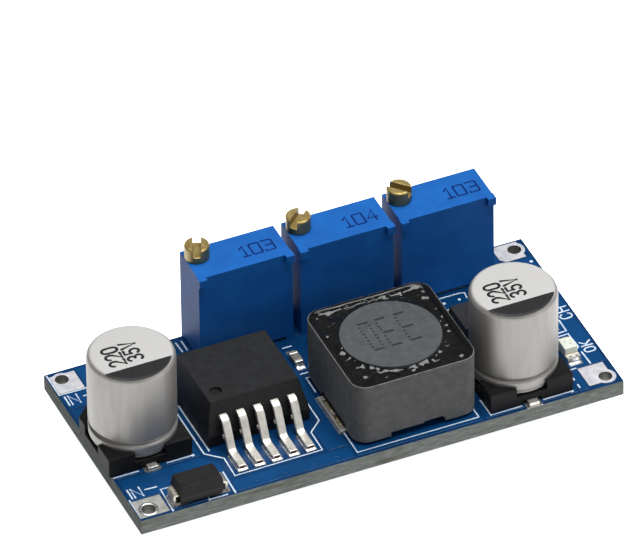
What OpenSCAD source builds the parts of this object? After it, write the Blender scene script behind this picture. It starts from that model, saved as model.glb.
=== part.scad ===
// Adjustable step-down converter module: a small circuit board with a switching regulator,
// a shielded power inductor, two can capacitors, three multi-turn trimmers and its small parts.
// Millimetres. Origin at the centre of the board's underside, +X towards the output end,
// +Y towards the trimmers, +Z up.

/* [Board] */
// Length of bare board behind the output capacitor's base, for the lamps and their words
output_margin = 4.79; // [4.2:0.01:12]
// Depth of the row of small parts between the inductor and the trimmers
row_depth = 4.53; // [4.2:0.01:10]
// Thickness of the board
board_t = 1.6; // [1.4:0.1:2]
// Distance from each terminal hole's centre to the two board edges next to it
hole_inset = 1.27; // [1.2:0.01:1.4]
// Radius of the plated terminal holes
hole_r = 0.65; // [0.5:0.01:0.7]
// Thickness of the plating in the terminal holes
plating_t = 0.2; // [0.17:0.01:0.25]
// Thickness of copper and tin on the board's faces
land_t = 0.05; // [0.04:0.01:0.08]

/* [Capacitors] */
// Diameter of the capacitor cans
can_d = 8.25; // [7.8:0.05:8.25]
// Height of the can tops above the board
can_top = 10.45; // [9:0.05:11]
// How far the square plastic bases reach past the cans on each side
can_base_margin = 0.025; // [0.02:0.005:0.3]
// Height of the base's floor, which the can stands on
can_floor_h = 1.0; // [0.8:0.05:1.2]
// Height of the base's corner posts above the board
can_post_h = 2.05; // [1.6:0.05:2.3]
// Width of the opening between two corner posts
post_gap_w = 3.0; // [2.5:0.1:3.6]
// How far the input capacitor's base reaches past the board's end
input_overhang = 0.28; // [0:0.01:0.3]

/* [Regulator] */
// Width of the regulator's moulded body at its foot
reg_w = 10.2; // [9.8:0.1:10.4]
// Length of the regulator's moulded body at its foot
reg_l = 9.05; // [8.6:0.05:9.3]
// Height of the regulator's body above the board
reg_h = 4.4; // [4.2:0.1:4.7]
// Number of regulator leads
reg_leads = 5; // [3, 5]
// Distance between neighbouring regulator leads
reg_pitch = 1.7; // [1.65:0.01:1.75]
// Width of a regulator lead
reg_lead_w = 0.8; // [0.7:0.05:0.9]
// Thickness of a regulator lead
reg_lead_t = 0.4; // [0.35:0.01:0.5]

/* [Inductor] */
// Side of the inductor's square shield
ind_w = 12.3; // [11.6:0.1:12.6]
// Height of the shield's rim above the board
ind_h = 6.85; // [6.4:0.05:7.6]
// Radius of the shield's upright corners
ind_corner_r = 1.5; // [1:0.05:1.8]
// Radius of the drum core
core_r = 4.75; // [4.5:0.05:4.85]
// Width of the inductor's terminal clips
ind_clip_w = 5.4; // [5:0.1:5.6]

/* [Trimmers] */
// Length of a trimmer over its front corner tabs
trim_l = 9.53; // [9.4:0.01:9.7]
// Depth of a trimmer with its front corner tabs
trim_d = 4.83; // [4.7:0.01:4.9]
// Height of a trimmer above the board
trim_h = 10.0; // [9.8:0.1:10.3]
// Gap between neighbouring trimmers
trim_gap = 0.63; // [0.4:0.01:1.2]
// Radius of the adjusting screw's head
screw_head_r = 1.18; // [1.1:0.01:1.2]
// How far the adjusting screw stands above the housing
screw_head_h = 1.5; // [1.3:0.05:1.7]
// Width and depth of the screwdriver slot
slot_w = 0.76; // [0.5:0.02:0.8]
// Running clearance around the screw, the rotor and the wiper's contact
run_gap = 0.05; // [0.03:0.01:0.06]
// Teeth on the rotor, which advances by one tooth for each turn of the screw
rotor_teeth = 30; // [24:1:36]

/* [Small parts] */
// Length of the diode's moulded body
diode_l = 4.35; // [4.1:0.05:4.5]
// Width of the diode's moulded body
diode_w = 2.5; // [2.4:0.05:2.7]
// Length of the operational amplifier's body
amp_l = 4.9; // [4.8:0.05:5]
// Width of the operational amplifier's body
amp_w = 3.9; // [3.8:0.05:4]
// Length of an indicator lamp over its ends
lamp_l = 3.0; // [2.8:0.1:3.1]
// Width of an indicator lamp
lamp_w = 1.3; // [1.2:0.05:1.4]

/* [Hidden] */
$fn = 64;
eps = 0.01;

// Colours
mask_blue = [0.07, 0.28, 0.52];
tin = [0.80, 0.80, 0.78];
alu = [0.76, 0.75, 0.73];
moulding_black = [0.12, 0.11, 0.11];
ferrite = [0.28, 0.28, 0.28];
resin_black = [0.06, 0.06, 0.06];
copper = [0.72, 0.40, 0.20];
trimmer_blue = [0.10, 0.36, 0.70];
brass = [0.72, 0.62, 0.32];
ceramic = [0.92, 0.92, 0.90];
lamp_cream = [0.90, 0.88, 0.76];

// ---------------------------------------------------------------- places on the board
// Gaps along the board, between the capacitors' bases, the regulator and the inductor
reg_gap = 1.61;
ind_gap = 2.15;
out_cap_gap = 0.89;
// Margins at the board's front edge
ind_edge = 1.2;
out_cap_edge = 0.69;
diode_edge = 0.18;

// The board is as long and as wide as the parts that stand on it and their gaps
can_base_w = can_d + 2 * can_base_margin;
board_l = -input_overhang + can_base_w + reg_gap + reg_w + ind_gap + ind_w + out_cap_gap
    + can_base_w + output_margin;
board_w = ind_edge + ind_w + row_depth + trim_d;
hole_x = board_l / 2 - hole_inset;
hole_y = board_w / 2 - hole_inset;

// How far the wire holes' lands reach from the holes, along and across the board
in_minus_land = [[-1.12, -0.99], [1.71, 1.51]];
in_plus_land = [[-0.99, -1.91], [1.51, 0.74]];
out_minus_land = [[-1.93, -0.7], [0.6, 2.0]];
out_plus_land = [[-1.9, -1.36], [0.6, 1.04]];

// Trimmers stand in a row with their backs flush with the board's back edge
trim_pitch = trim_l + trim_gap;
trim_end_gap = 1.505;
trim_y = board_w / 2 - trim_d / 2;
trim_x = hole_x + out_plus_land[0][0] - trim_end_gap - trim_l / 2 - trim_pitch;
trim_front = trim_y - trim_d / 2;
tab_front = 0.4;

// Capacitors: the input one hangs over the board's end, the output one stands by the inductor
in_cap_back = 0.51;
in_cap = [-board_l / 2 - input_overhang + can_base_w / 2, -in_cap_back];

// Regulator: its leads face the front, its tab stops short of the trimmers
reg_tab_reach = 1.3;
reg_tab_gap = 0.7;
reg_at = [
    in_cap[0] + can_base_w / 2 + reg_gap + reg_w / 2,
    trim_front - reg_tab_gap - reg_tab_reach - reg_l / 2
];

ind_at = [reg_at[0] + reg_w / 2 + ind_gap + ind_w / 2, -board_w / 2 + ind_edge + ind_w / 2];
ind_back = ind_at[1] + ind_w / 2;
// The terminal clips sit a little in front of the inductor's middle
ind_clips_at = ind_at - [0, 0.75];
out_cap = [
    ind_at[0] + ind_w / 2 + out_cap_gap + can_base_w / 2,
    -board_w / 2 + out_cap_edge + can_base_w / 2
];

// Indicator lamps at the output end, the ready lamp in front of the charge lamp
lamp_x = hole_x - 1.71;
ready_lamp_y = -hole_y + 4.64;
charge_lamp_y = ready_lamp_y + lamp_l + 2.31;

// Small parts: the diode beside the input hole, the amplifier behind the output capacitor,
// the others in the row behind the inductor
chip_l = 1.6;
chip_w = 0.85;
resistor_l = 1.6;
resistor_w = 0.8;
shunt_l = 6.3;
shunt_w = 3.2;
amp_pitch = 1.27;
amp_lead_reach = 1.1;
amp_tip = amp_w / 2 + amp_lead_reach;
diode_reach = 0.5;
diode_gap = 0.545;
amp_gap = 0.85;
row_y = ind_back + (row_depth + tab_front) / 2;
diode_at = [
    -hole_x + in_minus_land[1][0] + diode_gap + diode_reach + diode_l / 2,
    -board_w / 2 + diode_edge + diode_w / 2
];
amp_at = [out_cap[0] + 0.35, out_cap[1] + can_base_w / 2 + amp_gap + amp_tip];
ref_at = [ind_at[0] - 1.8, row_y + 0.15];
shunt_at = [ind_at[0] + 4.0, row_y - 0.1];
chip_cap_at = [reg_at[0] + reg_w / 2 + chip_w / 2 + 1.745, ind_back + chip_l / 2 + 0.88];
lamp_resistor_gap = 0.9;
resistor_gap = 0.3;
resistor_x = amp_at[0] + amp_l / 2 + resistor_gap + resistor_w / 2;
chip_resistors_at = [
    [lamp_x - lamp_w / 2 - lamp_resistor_gap - resistor_w / 2, charge_lamp_y],
    [resistor_x + resistor_w + resistor_gap, charge_lamp_y + 2 * resistor_l + 0.2],
    [resistor_x, trim_front - resistor_l / 2 - 0.6]
];

// ---------------------------------------------------------------- helpers
function unit(v) = v / norm(v);
function across(v) = [-v[1], v[0]];

// Corner b of the path a-b-c, rounded over the given reach
function bend(a, b, c, reach, steps = 5) =
    let (start = b + unit(a - b) * reach, end = b + unit(c - b) * reach)
    [for (i = [0:steps]) let (t = i / steps)
        (1 - t) * (1 - t) * start + 2 * t * (1 - t) * b + t * t * end];

// One side of a strip of thickness t that follows the path p
function strip_side(p, t, side) =
    [for (i = [0:len(p) - 1])
        p[i] + side * t / 2 * across(unit(p[min(i + 1, len(p) - 1)] - p[max(i - 1, 0)]))];
function reversed(list) = [for (i = [len(list) - 1:-1:0]) list[i]];

// A bent metal strip: path in (outward, up), width w, facing the direction turn about Z
module strip(path, t, w, turn = 0) {
    rotate([90, 0, turn])
        linear_extrude(height = w, center = true)
            polygon(concat(strip_side(path, t, 1), reversed(strip_side(path, t, -1))));
}

// A gull-wing lead: leaves a body at height h, drops and ends in a foot on its land
module gull_lead(h, shoulder, knee, tip, t, w, reach, turn) {
    z_foot = land_t + t / 2;
    a = [0, h];
    b = [shoulder, h];
    c = [knee, z_foot];
    d = [tip, z_foot];
    strip(concat([a], bend(a, b, c, reach), bend(b, c, d, reach), [d]), t, w, turn);
}

// A block centred on Z with rounded upright corners
module rounded_block(l, w, h, r) {
    linear_extrude(height = h) rounded_square(l, w, r);
}
module rounded_square(l, w, r) {
    square([l - 2 * r, w], center = true);
    square([l, w - 2 * r], center = true);
    for (x = [-1, 1], y = [-1, 1])
        translate([x * (l / 2 - r), y * (w / 2 - r)]) circle(r = r);
}

module centred_box(l, w, z0, z1) {
    translate([-l / 2, -w / 2, z0]) cube([l, w, z1 - z0]);
}

// A moulded body with drafted sides above and below its parting line
module drafted_body(l, w, z0, z_part, z1, draft_low, draft_high) {
    skin = 0.02;
    hull() {
        centred_box(l - 2 * draft_low, w - 2 * draft_low, z0, z0 + skin);
        centred_box(l, w, z_part, z_part + skin);
        centred_box(l - 2 * draft_high, w - 2 * draft_high, z1 - skin, z1);
    }
}

// Puts its children on the board's top face at p
module on_board(p) {
    translate([p[0], p[1], board_t]) children();
}

// ---------------------------------------------------------------- board and terminals
pin_hole_r = 0.45;
pin_r = 0.25;
pin_pitch = 2.54;

function trimmer_at(i) = [trim_x + (i - 1) * trim_pitch, trim_y];

module at_trimmer(i) {
    translate([trimmer_at(i)[0], trimmer_at(i)[1], board_t]) children();
}
module at_pins() {
    for (i = [0:2], k = [-1:1])
        translate([trimmer_at(i)[0] + k * pin_pitch, trimmer_at(i)[1], 0]) children();
}

module board() {
    color(mask_blue)
        difference() {
            centred_box(board_l, board_w, 0, board_t);
            for (x = [-1, 1], y = [-1, 1])
                translate([x * hole_x, y * hole_y, -eps])
                    cylinder(r = hole_r + plating_t, h = board_t + 2 * eps);
            at_pins() translate([0, 0, -eps]) cylinder(r = pin_hole_r, h = board_t + 2 * eps);
        }
}

// A plated wire hole with its lands on both faces. The land reaches from its low to its high
// corner around the hole, with one corner cut; lug_r rounds it around the hole.
module terminal(sx, sy, reach, lug_r, cut) {
    bore_h = board_t + 2 * land_t;
    low = reach[0];
    high = reach[1];
    color(tin)
        translate([sx * hole_x, sy * hole_y, 0])
            difference() {
                union() {
                    for (z = [-land_t, board_t])
                        translate([0, 0, z]) {
                            linear_extrude(height = land_t)
                                polygon([
                                    [low[0], high[1]], [low[0], low[1] + cut], [low[0] + cut, low[1]],
                                    [high[0], low[1]], [high[0], high[1]]
                                ]);
                            cylinder(r = lug_r, h = land_t);
                        }
                    translate([0, 0, -land_t]) cylinder(r = hole_r + plating_t, h = bore_h);
                }
                translate([0, 0, -land_t - eps]) cylinder(r = hole_r, h = bore_h + 2 * eps);
            }
}
module terminal_in_plus() { terminal(-1, 1, in_plus_land, hole_r + 0.3, 0); }
module terminal_in_minus() { terminal(-1, -1, in_minus_land, hole_r + 0.3, 0); }
module terminal_out_plus() { terminal(1, 1, out_plus_land, hole_r + 0.35, 0.5); }
module terminal_out_minus() { terminal(1, -1, out_minus_land, hole_r + 0.35, 0); }

// ---------------------------------------------------------------- solder lands
module land(l, w) { centred_box(l, w, 0, land_t); }

// A pair of lands at both ends of a part, along X
module end_lands(inner, outer, w) {
    for (x = [-1, 1])
        translate([x * (inner + outer) / 2, 0, 0]) land(outer - inner, w);
}

ind_land_reach = 0.66;
ind_land_in = 2.5;
cap_land_w = 1.6;
cap_land_reach = can_base_w / 2 + 0.7;
reg_land_w = 1.1;
reg_knee = 2.1;
reg_tip = 4.6;

module solder_lands() {
    color(tin) {
        for (at = [in_cap, out_cap])
            on_board(at) rotate(90) end_lands(1.4, cap_land_reach, cap_land_w);
        on_board(reg_at) {
            for (i = [0:reg_leads - 1])
                translate([(i - (reg_leads - 1) / 2) * reg_pitch, -reg_l / 2 - 3.05, 0])
                    land(reg_land_w, 2.6);
            translate([0, (2.2 + reg_l / 2 + reg_tab_reach) / 2 + 0.1, 0])
                land(reg_w - 0.2, reg_l / 2 + reg_tab_reach - 2.2 + 0.2);
        }
        on_board(ind_clips_at)
            end_lands(ind_w / 2 - ind_land_in, ind_w / 2 + ind_land_reach, ind_clip_w + 0.2);
        on_board(diode_at) end_lands(diode_l / 2 - 0.9, diode_l / 2 + 0.75, 1.8);
        on_board(amp_at)
            for (i = [-1.5:1.5], y = [-1, 1])
                translate([i * amp_pitch, y * (amp_tip - 0.4), 0]) land(0.6, 1.0);
        on_board(ref_at) {
            for (i = [-1:1]) translate([i * 1.5, -1.95, 0]) land(0.6, 0.9);
            translate([0, 1.1, 0]) land(1.8, 1.8);
        }
        on_board(shunt_at) end_lands(shunt_l / 2 - 1, shunt_l / 2 + 0.25, shunt_w);
        on_board(chip_cap_at) rotate(90) end_lands(chip_l / 2 - 0.3, chip_l / 2 + 0.7, chip_w);
        for (at = chip_resistors_at)
            on_board(at) rotate(90) end_lands(resistor_l / 2 - 0.3, resistor_l / 2 + 0.35, resistor_w);
        for (y = [ready_lamp_y, charge_lamp_y])
            on_board([lamp_x, y]) rotate(90) end_lands(lamp_l / 2 - 0.5, lamp_l / 2 + 0.58, lamp_w);
    }
}

// ---------------------------------------------------------------- can capacitors
can_r = can_d / 2;
flange_low = can_floor_h + 0.5;
flange_high = flange_low + 0.8;
groove_z = flange_high + 0.45;
groove_depth = 0.36;
shoulder_r = 0.55;

// The drawn can: curled foot, flange, rolled groove, straight wall and rounded shoulder
module can() {
    foot_r = can_r - 0.2;
    color(alu)
        rotate_extrude($fn = 96)
            polygon(concat(
                [
                    [0, can_floor_h], [foot_r - 0.45, can_floor_h],
                    [foot_r - 0.1, can_floor_h + 0.12], [foot_r, can_floor_h + 0.35], [foot_r, flange_low - 0.12],
                    [can_r - 0.02, flange_low], [can_r, flange_low + 0.1], [can_r, flange_high - 0.1]
                ],
                [for (i = [-4:4])
                    [can_r - groove_depth * cos(i * 22.5), groove_z + i * 0.09]],
                [for (i = [0:6]) let (a = i * 15)
                    [can_r - shoulder_r * (1 - cos(a)), can_top - shoulder_r * (1 - sin(a))]],
                [[0, can_top]]
            ));
}

// The moulded base: floor, four corner posts around the can, channels for the leads.
// Two corners are cut on the positive side.
module can_base() {
    half = can_base_w / 2;
    corner_cut = 1.3;
    channel_w = cap_land_w + 0.1;
    channel_h = 0.4;
    color(moulding_black)
        difference() {
            linear_extrude(height = can_post_h)
                polygon([
                    [-half, -half], [half, -half], [half, half - corner_cut],
                    [half - corner_cut, half], [-half + corner_cut, half], [-half, half - corner_cut]
                ]);
            translate([0, 0, can_floor_h]) cylinder(r = can_r + 0.02, h = can_post_h);
            centred_box(can_base_w + 1, post_gap_w, can_floor_h, can_post_h + 1);
            centred_box(post_gap_w, can_base_w + 1, can_floor_h, can_post_h + 1);
            for (y = [-1, 1])
                translate([-channel_w / 2, y > 0 ? 1.3 : -half - 1, -eps])
                    cube([channel_w, half + 1 - 1.3, channel_h + eps]);
        }
}

module can_leads() {
    lead_w = 1.0;
    lead_t = 0.35;
    color(tin)
        for (y = [-1, 1])
            translate([-lead_w / 2, y > 0 ? 1.5 : -can_base_w / 2 - 0.6, land_t])
                cube([lead_w, can_base_w / 2 + 0.6 - 1.5, lead_t]);
}

module input_capacitor_can() { on_board(in_cap) can(); }
module input_capacitor_base() { on_board(in_cap) can_base(); }
module input_capacitor_leads() { on_board(in_cap) can_leads(); }
module output_capacitor_can() { on_board(out_cap) can(); }
module output_capacitor_base() { on_board(out_cap) can_base(); }
module output_capacitor_leads() { on_board(out_cap) can_leads(); }

// ---------------------------------------------------------------- regulator
reg_tab_t = 1.3;
reg_lead_z = 2.95;
reg_skirt_h = 1.2;

// The moulding: drafted above its skirt, steeper at the front, with a dimple by its first lead
module regulator_body() {
    skin = 0.02;
    top_w = reg_w - 1.4;
    top_front = -reg_l / 2 + 1.0;
    top_back = reg_l / 2 - 0.4;
    dimple_r = 0.57;
    color(moulding_black)
        on_board(reg_at)
            difference() {
                hull() {
                    centred_box(reg_w, reg_l, land_t, reg_skirt_h);
                    translate([-top_w / 2, top_front, reg_h - skin])
                        cube([top_w, top_back - top_front, skin]);
                }
                translate([-top_w / 2 + 1.15, top_front + 1.4, reg_h - 0.3])
                    cylinder(r = dimple_r, h = 1, $fn = 32);
                // seat of the metal tab
                translate([-reg_w / 2 + 0.3, -reg_l / 2 + 1.5, 0])
                    cube([reg_w - 0.6, reg_l, land_t + reg_tab_t]);
            }
}

// The metal slug, which is soldered down and stands out behind the moulding
module regulator_tab() {
    ear = 1.2;
    color(tin)
        on_board(reg_at)
            translate([0, 0, land_t])
                linear_extrude(height = reg_tab_t)
                    polygon([
                        [-reg_w / 2 + 0.3, -reg_l / 2 + 1.5], [reg_w / 2 - 0.3, -reg_l / 2 + 1.5],
                        [reg_w / 2 - 0.3, reg_l / 2 + reg_tab_reach - ear / 2],
                        [reg_w / 2 - 0.3 - ear / 2, reg_l / 2 + reg_tab_reach],
                        [-reg_w / 2 + 0.3 + ear / 2, reg_l / 2 + reg_tab_reach],
                        [-reg_w / 2 + 0.3, reg_l / 2 + reg_tab_reach - ear / 2]
                    ]);
}

// Front face of the moulding at the height where the leads leave it
reg_exit = reg_l / 2 - 1.0 * (reg_lead_z - reg_skirt_h) / (reg_h - reg_skirt_h) - 0.02;
module regulator_leads() {
    color(tin)
        on_board(reg_at)
            for (i = [0:reg_leads - 1])
                translate([(i - (reg_leads - 1) / 2) * reg_pitch, -reg_exit, 0])
                    gull_lead(reg_lead_z, 0.7, reg_knee, reg_tip, reg_lead_t, reg_lead_w, 0.55, -90);
}

// ---------------------------------------------------------------- inductor
shield_bottom = 0.35;
shield_bore_r = core_r + 0.4;
rim_t = 0.4;
rim_depth = 0.65;
resin_top = ind_h - 0.25;
clip_t = 0.2;
ind_floor_z = 0.95;
flange_t = 0.8;
hub_r = 2.4;
// The core's top disc stands a little above the shield's rim
core_top = ind_h + 0.15;
winding_top = core_top - flange_t - 0.2;

// Ferrite shield: square outside, round inside, with a shallow square recess in its top
module inductor_shield() {
    recess_z = ind_h - rim_depth;
    notch_x = 5.4;
    color(ferrite)
        on_board(ind_at)
            difference() {
                translate([0, 0, shield_bottom])
                    rounded_block(ind_w, ind_w, ind_h - shield_bottom, ind_corner_r);
                translate([0, 0, recess_z])
                    rounded_block(ind_w - 2 * rim_t, ind_w - 2 * rim_t, rim_depth + 1, ind_corner_r - rim_t);
                translate([0, 0, -1]) cylinder(r = shield_bore_r, h = ind_h + 1, $fn = 96);
                // notches under the front and back faces, each with a small step
                for (turn = [0, 180])
                    rotate(turn) {
                        translate([-notch_x / 2, -ind_w / 2 - 1, 0]) cube([notch_x, 2.5, shield_bottom + 0.45]);
                        translate([notch_x / 2 - 2.1, -ind_w / 2 - 1, 0]) cube([1.9, 2.5, shield_bottom + 0.62]);
                    }
                // notches over the terminal clips
                translate([0, ind_clips_at[1] - ind_at[1], 0])
                    centred_box(ind_w + 2, ind_clip_w + 0.2, 0, ind_floor_z);
            }
}

module inductor_base() {
    color(moulding_black)
        on_board(ind_at)
            intersection() {
                centred_box(ind_w - 0.2, ind_w - 0.2, land_t + clip_t, ind_floor_z);
                union() {
                    cylinder(r = shield_bore_r - 0.05, h = 2);
                    translate([0, ind_clips_at[1] - ind_at[1], 0])
                        centred_box(ind_w - 0.2, ind_clip_w, 0, 2);
                }
            }
}

// Tinned clips under the base, each with two windows where the wire is soldered
module inductor_terminals() {
    clip_in = ind_w / 2 - 2.2;
    clip_out = ind_w / 2 + 0.5;
    window_w = 1.93;
    window_depth = 0.53;
    color(tin)
        on_board(ind_clips_at)
            for (turn = [0, 180])
                rotate(turn)
                    difference() {
                        translate([clip_in, -ind_clip_w / 2, land_t])
                            cube([clip_out - clip_in, ind_clip_w, clip_t]);
                        for (y = [-1, 1])
                            translate([clip_out - 0.27 - window_depth, y * 1.13 - window_w / 2, 0])
                                cube([window_depth, window_w, 1]);
                    }
}

module inductor_core() {
    color(ferrite)
        on_board(ind_at)
            rotate_extrude($fn = 96)
                polygon([
                    [0, ind_floor_z], [core_r, ind_floor_z], [core_r, ind_floor_z + flange_t],
                    [hub_r, ind_floor_z + flange_t], [hub_r, winding_top],
                    [core_r, winding_top], [core_r, core_top], [0, core_top]
                ]);
}

module inductor_winding() {
    low = ind_floor_z + flange_t;
    high = winding_top;
    winding_r = core_r - 0.15;
    turns = 9;
    turn_h = (high - low) / turns;
    color(copper)
        on_board(ind_at)
            rotate_extrude($fn = 48)
                polygon(concat(
                    [[hub_r + 0.05, high], [hub_r + 0.05, low]],
                    [for (i = [0:turns - 1], k = [0:2])
                        [winding_r - 0.12 * abs(k - 1), low + (i + k / 3 + 1 / 6) * turn_h]]
                ));
}

// Potting that fills the corners around the core and the gap down to the winding
module inductor_resin() {
    recess_z = ind_h - rim_depth;
    color(resin_black)
        on_board(ind_at)
            difference() {
                union() {
                    translate([0, 0, recess_z])
                        rounded_block(ind_w - 2 * rim_t, ind_w - 2 * rim_t, resin_top - recess_z,
                            ind_corner_r - rim_t);
                    translate([0, 0, recess_z - 0.6]) cylinder(r = shield_bore_r, h = 0.6 + eps, $fn = 96);
                }
                translate([0, 0, recess_z - 1]) cylinder(r = core_r, h = 3, $fn = 96);
            }
}

// ---------------------------------------------------------------- diode
diode_lead_t = 0.2;
diode_low = land_t + diode_lead_t;
diode_h = 2.2;
diode_part = 1.1;
diode_draft = 0.16;

module diode_body() {
    color(moulding_black)
        on_board(diode_at)
            drafted_body(diode_l, diode_w, diode_low, diode_part, diode_h, diode_draft, diode_draft);
}

// Leads that leave at mid height, drop and fold under the body
module diode_leads() {
    half = diode_l / 2;
    out = half + diode_reach - diode_lead_t / 2;
    z_low = land_t + diode_lead_t / 2;
    a = [half + 0.01, diode_part];
    b = [out, diode_part];
    c = [out, z_low];
    d = [half - 0.8, z_low];
    color(tin)
        on_board(diode_at)
            for (turn = [0, 180])
                strip(concat([a], bend(a, b, c, 0.14, 3), bend(b, c, d, 0.14, 3), [d]),
                    diode_lead_t, 1.45, turn);
}

// ---------------------------------------------------------------- trimmers
// A trimmer's own frame: origin on the board's top face under the housing's centre, the screw
// at the back of its left end. A single-start worm on the screw turns the rotor.
tab_l = 0.72;
tab_h = 0.84;
tab_side = 0.08;
block_l = trim_l - 2 * tab_side;
block_front = -trim_d / 2 + tab_front;
block_back = trim_d / 2;
foot_h = 0.3;
end_wall = 0.475;
face_wall = 0.415;
cavity_l = block_l - 2 * end_wall;
cavity_front = block_front + face_wall;
cavity_back = block_back - face_wall;
roof_z = trim_h - 1.3;
seal_top = foot_h + 0.9;

screw_inset = 1.27;
screw_at = [-trim_l / 2 + screw_inset, trim_d / 2 - screw_inset];
shaft_r = 0.5;
ring_seat_z = trim_h - 0.6;
ring_seat_r = 0.85;
ring_r = 0.14;

// The rotor is as large as the cavity lets it be, and meets the screw's shaft with its teeth
rotor_clear = 0.505;
rotor_left = screw_at[0] + shaft_r + 2 * run_gap;
rotor_tip_r = min((roof_z - seal_top) / 2 - rotor_clear, (cavity_l / 2 - rotor_left) / 2 - run_gap);
rotor_at = [rotor_left + rotor_tip_r, (seal_top + roof_z) / 2 + 0.2];
tooth_h = 0.3;
gear_t = 0.9;
gear_front = screw_at[1] - gear_t / 2;
hub_front = cavity_front + 1.5;
rotor_hub_r = 1.4;
axle_r = 0.6;
element_t = 0.7;
element_back = cavity_front + element_t;
element_side_gap = 0.1;
element_w = cavity_l - 2 * (rotor_at[0] + element_side_gap);
element_top = roof_z - 0.3;
wiper_t = 0.15;
wiper_reach = rotor_tip_r - 0.95;

// Direction of each screw's slot, from +X
slot_turn = [67, 43.6, -47.4];

// Turns its children's +Z axis to +Y at the rotor's centre, at depth y
module on_rotor_axis(y) {
    translate([rotor_at[0], y, rotor_at[1]]) rotate([-90, 0, 0]) children();
}

module trimmer_housing(i) {
    color(trimmer_blue)
        at_trimmer(i) {
            difference() {
                union() {
                    translate([-block_l / 2, block_front, foot_h])
                        cube([block_l, block_back - block_front, trim_h - foot_h]);
                    // tabs at the two top corners in front
                    for (x = [0, 1])
                        translate([
                            x == 0 ? -trim_l / 2 : trim_l / 2 - tab_l - tab_side,
                            -trim_d / 2,
                            trim_h - tab_h
                        ])
                            cube([tab_l + tab_side, 2 * tab_front, tab_h]);
                    // feet at the four bottom corners
                    for (x = [0, 1], y = [0, 1])
                        translate([
                            x == 0 ? -block_l / 2 : block_l / 2 - tab_l,
                            y == 0 ? block_front : block_back - face_wall,
                            0
                        ])
                            cube([tab_l, face_wall, foot_h + eps]);
                }
                translate([-cavity_l / 2, cavity_front, foot_h - eps])
                    cube([cavity_l, cavity_back - cavity_front, roof_z - foot_h + eps]);
                translate([screw_at[0], screw_at[1], 0]) {
                    cylinder(r = shaft_r + run_gap, h = trim_h + 1);
                    translate([0, 0, roof_z - eps]) cylinder(r = ring_seat_r, h = ring_seat_z - roof_z + eps);
                }
            }
            // stub axle for the rotor, inside the back wall
            on_rotor_axis(hub_front + 0.1) cylinder(r = axle_r, h = cavity_back - hub_front - 0.1 + eps);
        }
}

// The screw: slotted head and the shaft that carries the worm
module trimmer_screw(i) {
    head_z = trim_h + run_gap;
    top = trim_h + screw_head_h;
    bevel = 0.12;
    color(brass)
        at_trimmer(i)
            translate([screw_at[0], screw_at[1], 0])
                rotate(slot_turn[i])
                    difference() {
                        rotate_extrude()
                            polygon([
                                [0, seal_top + 0.1], [shaft_r, seal_top + 0.1], [shaft_r, head_z],
                                [screw_head_r, head_z], [screw_head_r, top - bevel],
                                [screw_head_r - bevel, top], [0, top]
                            ]);
                        translate([-screw_head_r - 1, -slot_w / 2, top - slot_w])
                            cube([2 * screw_head_r + 2, slot_w, slot_w + 1]);
                    }
}

// The toothed rotor, running on the housing's stub axle
module trimmer_rotor(i) {
    step = 360 / rotor_teeth;
    root_r = rotor_tip_r - tooth_h;
    color(ceramic)
        at_trimmer(i)
            difference() {
                union() {
                    on_rotor_axis(gear_front)
                        linear_extrude(height = gear_t)
                            polygon([for (k = [0:rotor_teeth - 1], p = [[-0.32, root_r], [-0.16, rotor_tip_r],
                                [0.16, rotor_tip_r], [0.32, root_r]])
                                p[1] * [cos((k + p[0]) * step), sin((k + p[0]) * step)]]);
                    on_rotor_axis(hub_front) cylinder(r = rotor_hub_r, h = gear_front - hub_front + eps);
                }
                on_rotor_axis(hub_front - 1) cylinder(r = axle_r + run_gap, h = trim_d);
            }
}

// The spring wiper, fixed to the rotor's face, with its contact just clear of the element
module trimmer_wiper(i) {
    plate_y = hub_front - wiper_t;
    contact_y = element_back + run_gap;
    color(brass)
        at_trimmer(i) {
            on_rotor_axis(plate_y) {
                cylinder(r = rotor_hub_r - 0.1, h = wiper_t);
                translate([0, -0.4, 0]) cube([wiper_reach, 0.8, wiper_t]);
                translate([wiper_reach, 0, 0]) cylinder(r = 0.4, h = wiper_t, $fn = 32);
            }
            translate([wiper_reach, 0, 0])
                on_rotor_axis(contact_y) cylinder(r = 0.25, h = plate_y - contact_y + eps, $fn = 32);
        }
}

// The ceramic plate that carries the resistive track
module trimmer_element(i) {
    color(ceramic)
        at_trimmer(i)
            translate([-element_w / 2 + rotor_at[0], cavity_front, seal_top])
                cube([element_w, element_t, element_top - seal_top]);
}

// Three round pins, each with a foot against the element
module trimmer_pins(i) {
    tail = 1.1;
    foot_z = seal_top + 0.3;
    color(tin)
        at_trimmer(i)
            for (k = [-1:1])
                translate([k * pin_pitch, 0, 0]) {
                    translate([0, 0, -board_t - tail])
                        cylinder(r = pin_r, h = board_t + tail + foot_z + 0.5, $fn = 32);
                    translate([-pin_r, element_back, foot_z]) cube([2 * pin_r, -element_back, 0.5]);
                }
}

module voltage_trimmer_housing() { trimmer_housing(0); }
module voltage_trimmer_screw() { trimmer_screw(0); }
module voltage_trimmer_rotor() { trimmer_rotor(0); }
module voltage_trimmer_wiper() { trimmer_wiper(0); }
module voltage_trimmer_element() { trimmer_element(0); }
module voltage_trimmer_pins() { trimmer_pins(0); }
module lamp_trimmer_housing() { trimmer_housing(1); }
module lamp_trimmer_screw() { trimmer_screw(1); }
module lamp_trimmer_rotor() { trimmer_rotor(1); }
module lamp_trimmer_wiper() { trimmer_wiper(1); }
module lamp_trimmer_element() { trimmer_element(1); }
module lamp_trimmer_pins() { trimmer_pins(1); }
module current_trimmer_housing() { trimmer_housing(2); }
module current_trimmer_screw() { trimmer_screw(2); }
module current_trimmer_rotor() { trimmer_rotor(2); }
module current_trimmer_wiper() { trimmer_wiper(2); }
module current_trimmer_element() { trimmer_element(2); }
module current_trimmer_pins() { trimmer_pins(2); }

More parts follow.
